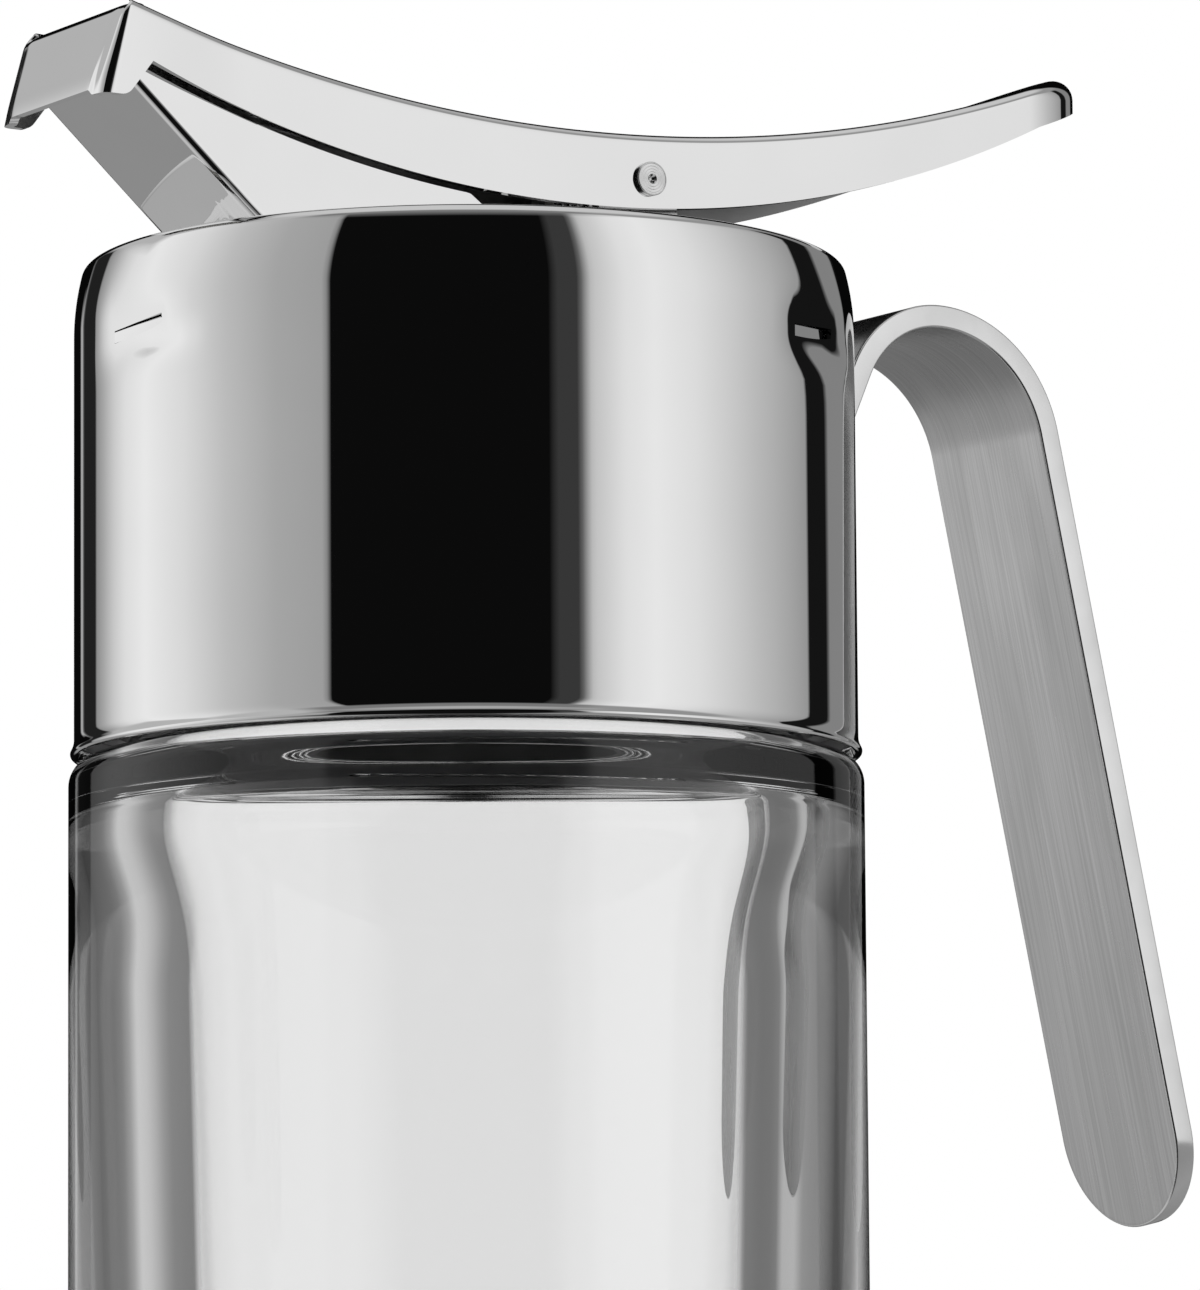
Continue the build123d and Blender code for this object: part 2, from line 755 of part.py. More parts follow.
def make_handle():
    """Bent strip: tab inside the collar, root through the slot, arch, leaning leg with a round end."""
    lean = math.radians(handle_lean)
    back_turn = 90 - handle_lean
    outer_end = strip_point(0, back_turn)
    inner_end = strip_point(handle_thickness, back_turn)
    reach = (outer_end[1] - handle_end_height) / math.cos(lean)
    step = (reach * math.sin(lean), -reach * math.cos(lean))
    outer_low = (outer_end[0] + step[0], outer_end[1] + step[1])
    inner_low = (inner_end[0] + step[0], inner_end[1] + step[1])
    apex_outer = strip_point(0, 0)
    apex_inner = strip_point(handle_thickness, 0)
    front_outer = strip_point(0, -handle_root_turn)
    front_inner = strip_point(handle_thickness, -handle_root_turn)
    arch = [
        RadiusArc(front_outer, apex_outer, handle_front_radius),
        ThreePointArc(apex_outer, strip_point(0, back_turn / 2), outer_end),
        Line(outer_end, outer_low),
        Line(outer_low, inner_low),
        Line(inner_low, inner_end),
        ThreePointArc(inner_end, strip_point(handle_thickness, back_turn / 2), apex_inner),
        RadiusArc(apex_inner, front_inner, -(handle_front_radius - handle_thickness)),
        Line(front_inner, front_outer),
    ]
    strip = slab(side_face(arch), handle_half_width)
    low_edges = strip.edges().filter_by(Axis.Y, reverse=True).sort_by(Axis.Z)[:2]
    strip = fillet(low_edges, handle_end_round)
    outside = Pos(0, 0, rim_z) * Cylinder(
        collar_radius + collar_touch_gap, collar_height, align=(Align.CENTER, Align.CENTER, Align.MIN)
    )
    strip += slab(side_face(root_edges()), handle_half_width)
    strip -= outside
    strip += slab(side_face(root_edges()), tab_half_width)
    middle = tab_middle_x()
    root_low = root_edges()[2]
    high_z = max((root_low @ 0).Y, (root_low @ 1).Y)
    tab = side_polygon(
        (middle - handle_thickness / 2, tab_low_z()),
        (middle + handle_thickness / 2, tab_low_z()),
        (middle + handle_thickness / 2, high_z),
        (middle - handle_thickness / 2, high_z),
    )
    strip += slab(tab, tab_half_width)
    for y in (-screw_spacing / 2, screw_spacing / 2):
        strip -= screw_rod(screw_radius, middle - handle_thickness, middle + handle_thickness, y)
    return strip


def screw_rod(radius, low_x, high_x, y):
    """Rod along X at the screws' height."""
    z = tab_low_z() + screw_height
    return Plane(origin=(low_x, y, z), z_dir=(1, 0, 0)) * extrude(Circle(radius), amount=high_x - low_x)


def make_backing():
    """Steel plate behind the handle's tab."""
    face_x = tab_middle_x() - handle_thickness / 2
    z = tab_low_z()
    height = 2 * screw_height
    plate = slab(
        side_polygon(
            (face_x - backing_thickness, z),
            (face_x, z),
            (face_x, z + height),
            (face_x - backing_thickness, z + height),
        ),
        backing_half_width,
    )
    for y in (-screw_spacing / 2, screw_spacing / 2):
        plate -= screw_rod(screw_radius, face_x - 2 * backing_thickness, face_x, y)
    return plate


def make_screw(side):
    """Screw through the backing plate into the tab, on the near side (-1) or the far side (1)."""
    face_x = tab_middle_x() - handle_thickness / 2
    head_x = face_x - backing_thickness
    y = side * screw_spacing / 2
    shank = screw_rod(screw_radius, head_x - screw_head_height, face_x + handle_thickness, y)
    return shank + screw_rod(screw_head_radius, head_x - screw_head_height, head_x, y)


def main():
    """Build every piece and write it under its name."""
    pieces = {
        "glass_jar": make_jar,
        "jar_seal_ring": make_seal,
        "collar_shell": make_collar,
        "closure_liner": make_liner,
        "pour_funnel": make_funnel,
        "outlet_gasket": make_gasket,
        "spout_chute": make_chute,
        "pivot_bracket": make_bracket,
        "bracket_rivet_front": lambda: make_rivet(0),
        "bracket_rivet_back": lambda: make_rivet(1),
        "pivot_pin": make_pin,
        "ear_washer_near": lambda: make_washer(-1),
        "ear_washer_far": lambda: make_washer(1),
        "spring_sleeve": make_sleeve,
        "lid_spring": make_spring,
        "lid_lever": make_lever,
        "mouth_pad": make_pad,
        "handle_strip": make_handle,
        "handle_backing_plate": make_backing,
        "handle_screw_near": lambda: make_screw(-1),
        "handle_screw_far": lambda: make_screw(1),
    }
    os.makedirs("parts", exist_ok=True)
    for name, make in pieces.items():
        export_step(make(), f"parts/{name}.step")


main()
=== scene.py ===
"""Honey dispenser, dressed: polished steel collar, spout and lever, strip handle and thick glass jar.

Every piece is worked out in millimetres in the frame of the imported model: +Z is up, the spout points to
-X, the handle to +X, and the middle of the jar's base is the origin.
"""
import logging
import math
from dataclasses import dataclass, field
from enum import Enum

import bmesh
import bpy
import numpy as np
from mathutils import Matrix


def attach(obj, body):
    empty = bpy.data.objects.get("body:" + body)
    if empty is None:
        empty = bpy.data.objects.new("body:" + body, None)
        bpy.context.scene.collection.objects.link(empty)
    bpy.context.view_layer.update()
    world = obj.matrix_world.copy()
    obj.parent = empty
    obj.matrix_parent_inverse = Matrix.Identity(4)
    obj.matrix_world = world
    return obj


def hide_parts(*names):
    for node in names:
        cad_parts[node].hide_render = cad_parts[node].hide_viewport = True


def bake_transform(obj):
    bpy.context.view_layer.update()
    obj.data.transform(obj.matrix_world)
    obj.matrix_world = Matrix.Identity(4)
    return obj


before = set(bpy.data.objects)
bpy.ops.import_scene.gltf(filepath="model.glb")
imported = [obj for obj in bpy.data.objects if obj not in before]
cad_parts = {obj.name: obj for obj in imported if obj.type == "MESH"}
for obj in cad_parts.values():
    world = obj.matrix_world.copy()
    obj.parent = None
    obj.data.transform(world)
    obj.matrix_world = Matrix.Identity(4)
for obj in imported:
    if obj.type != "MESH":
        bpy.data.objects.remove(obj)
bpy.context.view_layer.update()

MM = 0.001
NEAR_MM = 1e-6  # points of a profile that lie nearer than this are one
KEYS_PER_MM = 1e4  # points of a grid are one where so many steps to a mm can't tell them apart
WELD = 0.5e-6  # metres within which the points of a finished mesh are joined
SLIVER = 0.2e-6  # metres below which an edge of a finished mesh is closed up
LEAST_BEND = 0.2  # least radius in mm of a bend's inner side
NOISE_SPAN = (0.3, 0.7)  # nearly all values of a noise lie between these
Array = np.ndarray
Stops = tuple[tuple[float, str | float], ...]  # degrees, and a hex code or a plain number for each
log = logging.getLogger("honey_dispenser")


def linear(code: str) -> tuple[float, float, float, float]:
    """Turns an sRGB hex code into linear colour.

    Args:
        code: six hex digits after a hash sign.

    Returns:
        Red, green, blue and an alpha of one.
    """
    values = np.array([int(code[i : i + 2], 16) for i in (1, 3, 5)]) / 255
    low = values / 12.92
    high = ((values + 0.055) / 1.055) ** 2.4
    red, green, blue = np.where(values <= 0.04045, low, high)
    return (float(red), float(green), float(blue), 1.0)


def add_node(
    tree: bpy.types.NodeTree, kind: str, settings: dict | None = None, links: dict | None = None
) -> bpy.types.Node:
    """Adds one node with its settings and its links.

    Args:
        tree: the tree that gets the node.
        kind: the node's type name.
        settings: a socket's name or number, or a property's name, and its value.
        links: a socket's name or number and the output that goes into it.

    Returns:
        The new node.
    """
    node = tree.nodes.new(kind)
    for key, value in (settings or {}).items():
        if isinstance(key, str) and hasattr(node, key):
            setattr(node, key, value)
        else:
            node.inputs[key].default_value = value
    for key, output in (links or {}).items():
        tree.links.new(output, node.inputs[key])
    return node


def emptied(owner: bpy.types.Material | bpy.types.World) -> bpy.types.NodeTree:
    """Switches an owner's nodes on and empties their tree.

    Args:
        owner: a material or a world.

    Returns:
        The empty tree.
    """
    owner.use_nodes = True
    owner.node_tree.nodes.clear()
    return owner.node_tree


def add_object(name: str, data: bpy.types.ID) -> bpy.types.Object:
    """Makes an object and links it to the scene.

    Args:
        name: name of the object.
        data: its mesh, lamp or camera.

    Returns:
        The new object.
    """
    item = bpy.data.objects.new(name, data)
    bpy.context.scene.collection.objects.link(item)
    return item


def stand(item: bpy.types.Object, across: Array, over: Array, back: Array, place: Array) -> None:
    """Stands a lamp or a camera, which looks against its own Z.

    Args:
        item: the lamp or the camera.
        across: direction of its X.
        over: direction of its Y.
        back: direction of its Z.
        place: where it stands, in metres.
    """
    matrix = np.eye(4)
    matrix[:3] = np.column_stack([across, over, back, place])
    item.matrix_world = Matrix(matrix.tolist())


def unit(vectors: Array) -> Array:
    """Scales vectors along the last axis to a length of one."""
    return vectors / np.linalg.norm(vectors, axis=-1, keepdims=True)


def smooth(low: float, high: float, values: Array) -> Array:
    """Smooth step: 3 t squared minus 2 t cubed, where t runs from 0 at low to 1 at high."""
    t = np.clip((values - low) / (high - low), 0, 1)
    return t * t * (3 - 2 * t)


def arc(centre: tuple[float, float], radius: float, start: float, end: float, steps: int) -> Array:
    """Points of a plane arc: centre plus radius times cosine and sine of the angle.

    Args:
        centre: centre of the arc, in mm.
        radius: radius in mm.
        start: first angle in degrees.
        end: last angle in degrees.
        steps: number of points.

    Returns:
        Array of points, steps by 2.
    """
    angle = np.radians(np.linspace(start, end, steps))
    return np.column_stack([centre[0] + radius * np.cos(angle), centre[1] + radius * np.sin(angle)])


def line(start: tuple[float, float], end: tuple[float, float], steps: int) -> Array:
    """Evenly spaced points of a straight run in a plane, with both ends."""
    return np.linspace(start, end, steps)


def join(*runs: Array) -> Array:
    """Joins runs of points and leaves out a point that repeats the one before it.

    Args:
        runs: arrays of points, in order.

    Returns:
        One array of points.
    """
    points = np.concatenate(runs)
    step = np.linalg.norm(np.diff(points, axis=0), axis=1)
    return points[np.concatenate([[True], step > NEAR_MM])]


def fan(first: Array, last: Array, parts: tuple[float, ...]) -> Array:
    """Rows of points between two rows: (1 - t) times the first plus t times the last, for each part t."""
    t = np.array(parts)[:, None, None]
    return (1 - t) * first + t * last


def mirrored(points: Array) -> Array:
    """The points with their second coordinate turned round, in reverse order."""
    flip = np.where(np.arange(points.shape[1]) == 1, -1.0, 1.0)
    return (points * flip)[::-1]


def full_turn(columns: int) -> Array:
    """Evenly spaced angles all the way round, in radians."""
    return np.linspace(0, 2 * math.pi, columns, endpoint=False)


def turned_from(azimuths: Array, azimuth: float) -> Array:
    """Degrees from one azimuth to others, from -180 to 180."""
    return (azimuths - azimuth + 180) % 360 - 180


def rounded_corner(corner: Array, toward_a: Array, toward_b: Array, radius: Array, steps: int) -> Array:
    """Arcs of a ball that rolls in a corner between two directions, one arc for each corner point.

    With h half the angle between the directions, the ball's centre is at radius / sin h along their
    bisector and it touches them at radius / tan h. The arc is the circular interpolation of the two
    touching points about that centre.

    Args:
        corner: sharp corner points, n by 3.
        toward_a: directions of the first side, n by 3.
        toward_b: directions of the second side, n by 3.
        radius: radii, n.
        steps: points of each arc.

    Returns:
        Array, steps by n by 3, from the first side to the second.
    """
    side_a, side_b = unit(toward_a), unit(toward_b)
    half = np.arccos(np.clip(np.sum(side_a * side_b, -1), -0.999, 0.999)) / 2
    centre = corner + unit(side_a + side_b) * (radius / np.sin(half))[:, None]
    reach = (radius / np.tan(half))[:, None]
    start, end = corner + side_a * reach - centre, corner + side_b * reach - centre
    sweep = (math.pi - 2 * half)[None, :, None]
    t = np.linspace(0, 1, steps)[:, None, None]
    return centre + (np.sin((1 - t) * sweep) * start + np.sin(t * sweep) * end) / np.sin(sweep)


def revolve(profile: Array, azimuths: Array) -> Array:
    """Surface of revolution: (r cos a, r sin a, z) for a profile of (r, z) and azimuths a.

    Args:
        profile: radius and height of each row, in mm.
        azimuths: azimuth of each column, in radians.

    Returns:
        Grid of points, profile rows by azimuth columns by 3.
    """
    radius, height = profile[:, 0][:, None], profile[:, 1][:, None]
    flat = np.ones_like(azimuths)[None, :]
    return np.stack([radius * np.cos(azimuths), radius * np.sin(azimuths), height * flat], -1)


def grid_faces(rows: int, columns: int, wrap: bool, keep: Array | None = None) -> Array:
    """Four corners of each cell of a grid, as point numbers.

    Args:
        rows: rows of points.
        columns: columns of points.
        wrap: whether the last column joins the first.
        keep: which cells to keep, rows - 1 by cell columns.

    Returns:
        Array of corner numbers, cells by 4.
    """
    row = np.arange(rows - 1)[:, None]
    column = np.arange(columns if wrap else columns - 1)[None, :]
    after = (column + 1) % columns
    cells = np.stack(
        np.broadcast_arrays(
            row * columns + column,
            row * columns + after,
            (row + 1) * columns + after,
            (row + 1) * columns + column,
        ),
        -1,
    )
    return cells.reshape(-1, 4) if keep is None else cells[keep]


@dataclass
class Skin:
    """Points in mm and faces of a piece that is being put together."""

    points: list[Array] = field(default_factory=list)
    faces: list[Array] = field(default_factory=list)
    finishes: list[Array] = field(default_factory=list)
    count: int = 0

    def add(self, points: Array, faces: Array, finish: Array | int = 0) -> None:
        """Adds points and the faces between them.

        Args:
            points: points in mm, in a list or a grid.
            faces: four corners of each face, counted from the first of these points.
            finish: number of the finish, one for all faces or one for each.
        """
        self.points.append(points.reshape(-1, 3))
        self.faces.append(faces + self.count)
        self.finishes.append(np.broadcast_to(finish, len(faces)))
        self.count += len(self.points[-1])

    def surface(self, grid: Array, finish: Array | int = 0) -> None:
        """Adds one grid of points as a surface whose last column joins the first.

        Args:
            grid: rows by columns by 3.
            finish: number of the finish, one for all cells or one for each row of them.
        """
        faces = grid_faces(grid.shape[0], grid.shape[1], wrap=True)
        each = np.broadcast_to(finish, grid.shape[0] - 1)
        self.add(grid, faces, np.repeat(each, len(faces) // len(each)))

    def sheet(
        self, outer: Array, inner: Array, wrap: bool, keep: Array | None = None, inside: int = 0
    ) -> None:
        """Adds sheet metal: an outer grid, an inner grid and a wall along every free edge.

        Points of the outer grid that coincide are joined first, so poles and seams get no wall. A free
        edge is one that is used in one direction only.

        Args:
            outer: outer grid, rows by columns by 3.
            inner: inner grid of the same shape.
            wrap: whether the last column joins the first.
            keep: which cells to keep.
            inside: number of the inner side's finish.
        """
        flat_outer, flat_inner = outer.reshape(-1, 3), inner.reshape(-1, 3)
        keys = np.round(flat_outer * KEYS_PER_MM).astype(np.int64)
        _, first, back = np.unique(keys, axis=0, return_index=True, return_inverse=True)
        faces = back.reshape(-1)[grid_faces(outer.shape[0], outer.shape[1], wrap, keep)]
        edges = np.concatenate([faces[:, [k, (k + 1) % 4]] for k in range(4)])
        edges = edges[edges[:, 0] != edges[:, 1]]
        total = len(first)
        forward = edges[:, 0] * total + edges[:, 1]
        backward = edges[:, 1] * total + edges[:, 0]
        rim = edges[~np.isin(forward, backward)]
        walls = np.stack([rim[:, 1], rim[:, 0], rim[:, 0] + total, rim[:, 1] + total], -1)
        both = np.concatenate([flat_outer[first], flat_inner[first]])
        finish = np.repeat([0, inside, 0], [len(faces), len(faces), len(walls)])
        self.add(both, np.concatenate([faces, faces[:, ::-1] + total, walls]), finish)

    def build(self, name: str, sharp: float = 40.0) -> bpy.types.Object:
        """Makes the mesh object, with poles and seams closed and faces outwards.

        A face that has one pair of corners on the same point becomes a triangle, and one that has more
        such pairs is left out.

        Args:
            name: name of the object.
            sharp: angle in degrees from which an edge stays sharp.

        Returns:
            The object, linked to the scene.
        """
        faces = np.concatenate(self.faces)
        same = faces == np.roll(faces, -1, axis=1)
        whole, pinched = same.sum(1) == 0, same.sum(1) == 1
        turn = (same[pinched].argmax(1)[:, None] + 1 + np.arange(3)) % 4
        corners = np.take_along_axis(faces[pinched], turn, 1)
        mesh = bpy.data.meshes.new(name)
        points = np.concatenate(self.points) * MM
        mesh.from_pydata(points.tolist(), [], faces[whole].tolist() + corners.tolist())
        finish = np.concatenate(self.finishes)
        finish = np.concatenate([finish[whole], finish[pinched]]).astype(np.int32)
        mesh.polygons.foreach_set("material_index", finish)
        work = bmesh.new()
        work.from_mesh(mesh)
        bmesh.ops.remove_doubles(work, verts=work.verts, dist=WELD)
        bmesh.ops.dissolve_degenerate(work, edges=work.edges, dist=SLIVER)
        bmesh.ops.recalc_face_normals(work, faces=work.faces)
        work.to_mesh(mesh)
        work.free()
        mesh.polygons.foreach_set("use_smooth", np.ones(len(mesh.polygons), dtype=bool))
        mesh.set_sharp_from_angle(angle=math.radians(sharp))
        mesh.update()
        return add_object(name, mesh)


@dataclass(frozen=True)
class Grain:
    """One noise of a real size: a feature's length along X, Y and Z in mm, and its finer octaves."""

    length: tuple[float, float, float]
    detail: float

    @classmethod
    def even(cls, length: float, detail: float) -> "Grain":
        """A noise whose features are as long one way as another."""
        return cls((length, length, length), detail)


@dataclass(frozen=True)
class Finish:
    """What every finish has: a name and a way to make its material."""

    name: str

    def make(self) -> bpy.types.Material:
        """Makes a material and gives it the finish's own coat.

        Returns:
            The new material.
        """
        material = bpy.data.materials.new(self.name)
        tree = emptied(material)
        shader = self.coat(tree)
        add_node(tree, "ShaderNodeOutputMaterial", links={"Surface": shader.outputs["BSDF"]})
        return material

    def coat(self, tree: bpy.types.NodeTree) -> bpy.types.Node:
        """Adds the Principled shader and what goes into it. Each kind of finish has its own coat."""
        raise NotImplementedError

    def noise(self, tree: bpy.types.NodeTree, grain: Grain) -> bpy.types.NodeSocket:
        """Noise of a real size along each axis of the object.

        Args:
            tree: the material's tree.
            grain: size and octaves of the noise.

        Returns:
            The noise's factor output.
        """
        place = add_node(tree, "ShaderNodeTexCoord")
        stretch = add_node(
            tree,
            "ShaderNodeMapping",
            {"Scale": tuple(1 / (length * MM) for length in grain.length)},
            {"Vector": place.outputs["Object"]},
        )
        noise = add_node(
            tree, "ShaderNodeTexNoise", {"Scale": 1.0, "Detail": grain.detail}, {"Vector": stretch.outputs[0]}
        )
        return noise.outputs[0]


@dataclass(frozen=True)
class Opaque(Finish):
    """A finish that lets no light through, with a broad noise, its cloud, and a fine one, its grain.

    The roughness follows the cloud and the relief follows the grain. The colour follows the cloud, or
    the grain where the finish is streaked.
    """

    light: str
    dark: str
    sheen: tuple[float, float]
    cloud: Grain
    grain: Grain
    depth: float
    metallic: float = 1.0
    streaked: bool = False

    def coat(self, tree: bpy.types.NodeTree) -> bpy.types.Node:
        """Adds the shader with its colour, roughness and relief, which has a real depth.

        Args:
            tree: the material's tree.

        Returns:
            The Principled shader.
        """
        cloud, grain = self.noise(tree, self.cloud), self.noise(tree, self.grain)
        tint = add_node(tree, "ShaderNodeValToRGB", links={"Fac": grain if self.streaked else cloud})
        for element, position, code in zip(tint.color_ramp.elements, NOISE_SPAN, (self.dark, self.light)):
            element.position = position
            element.color = linear(code)
        spans = dict(zip(("From Min", "From Max", "To Min", "To Max"), (*NOISE_SPAN, *self.sheen)))
        gloss = add_node(tree, "ShaderNodeMapRange", spans, {"Value": cloud})
        relief = add_node(tree, "ShaderNodeBump", {"Distance": self.depth * MM}, {"Height": grain})
        return add_node(
            tree,
            "ShaderNodeBsdfPrincipled",
            {"Metallic": self.metallic},
            {"Base Color": tint.outputs[0], "Roughness": gloss.outputs[0], "Normal": relief.outputs[0]},
        )


@dataclass(frozen=True)
class PolishedStainless(Opaque):
    """18/10 stainless sheet, deep drawn and buffed to a mirror.

    The eye sees the room in it, with a very slight waviness left by the buffing wheel and a faint veil
    where it has been touched.
    """

    light: str = "#efefef"
    dark: str = "#eaeaea"
    sheen: tuple[float, float] = (0.006, 0.026)
    cloud: Grain = Grain.even(26.0, 4.0)
    grain: Grain = Grain.even(9.0, 1.0)
    depth: float = 0.0014


@dataclass(frozen=True)
class BrushedStainless(Opaque):
    """Stainless strip, belt-brushed along its length.

    The eye sees fine lines that run along the strip and a soft, streaky light. A belt leaves lines
    less than 0.1 mm apart. They are drawn 0.22 mm wide, as coarse as they need to show.
    """

    light: str = "#c6c6c6"
    dark: str = "#b2b2b2"
    sheen: tuple[float, float] = (0.2, 0.34)
    cloud: Grain = Grain((18.0, 5.0, 18.0), 2.0)
    grain: Grain = Grain((30.0, 0.22, 30.0), 3.0)
    depth: float = 0.004
    streaked: bool = True


@dataclass(frozen=True)
class SatinStainless(Opaque):
    """Stainless that was stamped or turned and only tumbled: an even grey with a soft gloss."""

    light: str = "#c4c4c4"
    dark: str = "#a9a9a9"
    sheen: tuple[float, float] = (0.16, 0.3)
    cloud: Grain = Grain.even(6.0, 3.0)
    grain: Grain = Grain.even(0.5, 3.0)
    depth: float = 0.003


@dataclass(frozen=True)
class Moulded(Opaque):
    """Injection-moulded plastic or silicone: a soft, slightly grained skin."""

    cloud: Grain = Grain.even(9.0, 3.0)
    grain: Grain = Grain.even(0.35, 2.0)
    depth: float = 0.006
    metallic: float = 0.0


@dataclass(frozen=True)
class PressedGlass(Finish):
    """Soda-lime glass, pressed and fire-polished: clear, thick, with a slow ripple in its skin."""

    colour: str = "#f6f6f6"
    index: float = 1.52
    ripple: Grain = Grain((16.0, 16.0, 48.0), 1.0)
    ripple_depth: float = 0.009

    def coat(self, tree: bpy.types.NodeTree) -> bpy.types.Node:
        """Adds a clear shader with the ripple on it.

        Args:
            tree: the material's tree.

        Returns:
            The Principled shader.
        """
        ripple = self.noise(tree, self.ripple)
        relief = add_node(tree, "ShaderNodeBump", {"Distance": self.ripple_depth * MM}, {"Height": ripple})
        clear = {"Base Color": linear(self.colour), "Roughness": 0.0, "Transmission Weight": 1.0}
        return add_node(
            tree, "ShaderNodeBsdfPrincipled", {**clear, "IOR": self.index}, {"Normal": relief.outputs[0]}
        )


class Palette(Enum):
    """The finishes of this dispenser."""

    MIRROR = PolishedStainless("Buffed stainless sheet")
    BRUSHED = BrushedStainless("Brushed stainless strip")
    SATIN = SatinStainless("Tumbled stainless")
    # Rough unpolished stainless for the inner faces of the lever and the spout. The rough finish is real; the
    # colour is darker than the satin steel as painted shade for their hollow insides.
    SHADED_INSIDE = SatinStainless("Unpolished stainless with painted shade", light="#b0b0b0", dark="#9c9c9c", sheen=(0.34, 0.46))
    PIN = SatinStainless("Turned and faced stainless", light="#eeeeee", dark="#d8d8d8", sheen=(0.1, 0.2))
    EDGE = SatinStainless("Ground strip edge", light="#ebebeb", dark="#dcdcdc", sheen=(0.14, 0.22))
    WIRE = SatinStainless("Drawn spring wire", light="#a6a6a6", dark="#8a8a8a")
    GLASS = PressedGlass("Pressed soda-lime glass")
    LINER = Moulded("Moulded polypropylene", light="#8c8c8d", dark="#818182", sheen=(0.38, 0.5))
    ACETAL = Moulded("Moulded acetal", light="#e4e3de", dark="#dad9d3", sheen=(0.3, 0.42))
    SEAL = Moulded("Moulded grey silicone", light="#676767", dark="#5c5c5c", sheen=(0.5, 0.62))
    SILICONE = Moulded("Moulded silicone", light="#d9d8d2", dark="#cfcec8", sheen=(0.5, 0.62))


class Wardrobe:
    """Makes each finish once and puts it on pieces."""

    def __init__(self) -> None:
        """Starts with no finish made."""
        self.made: dict[Palette, bpy.types.Material] = {}

    def dress(self, piece: bpy.types.Object, *finishes: Palette) -> None:
        """Gives a piece its finishes.

        Args:
            piece: the object.
            finishes: which finishes it gets, in the order of its faces' numbers.
        """
        while piece.data.materials:
            piece.data.materials.pop()
        for finish in finishes:
            if finish not in self.made:
                self.made[finish] = finish.value.make()
            piece.data.materials.append(self.made[finish])


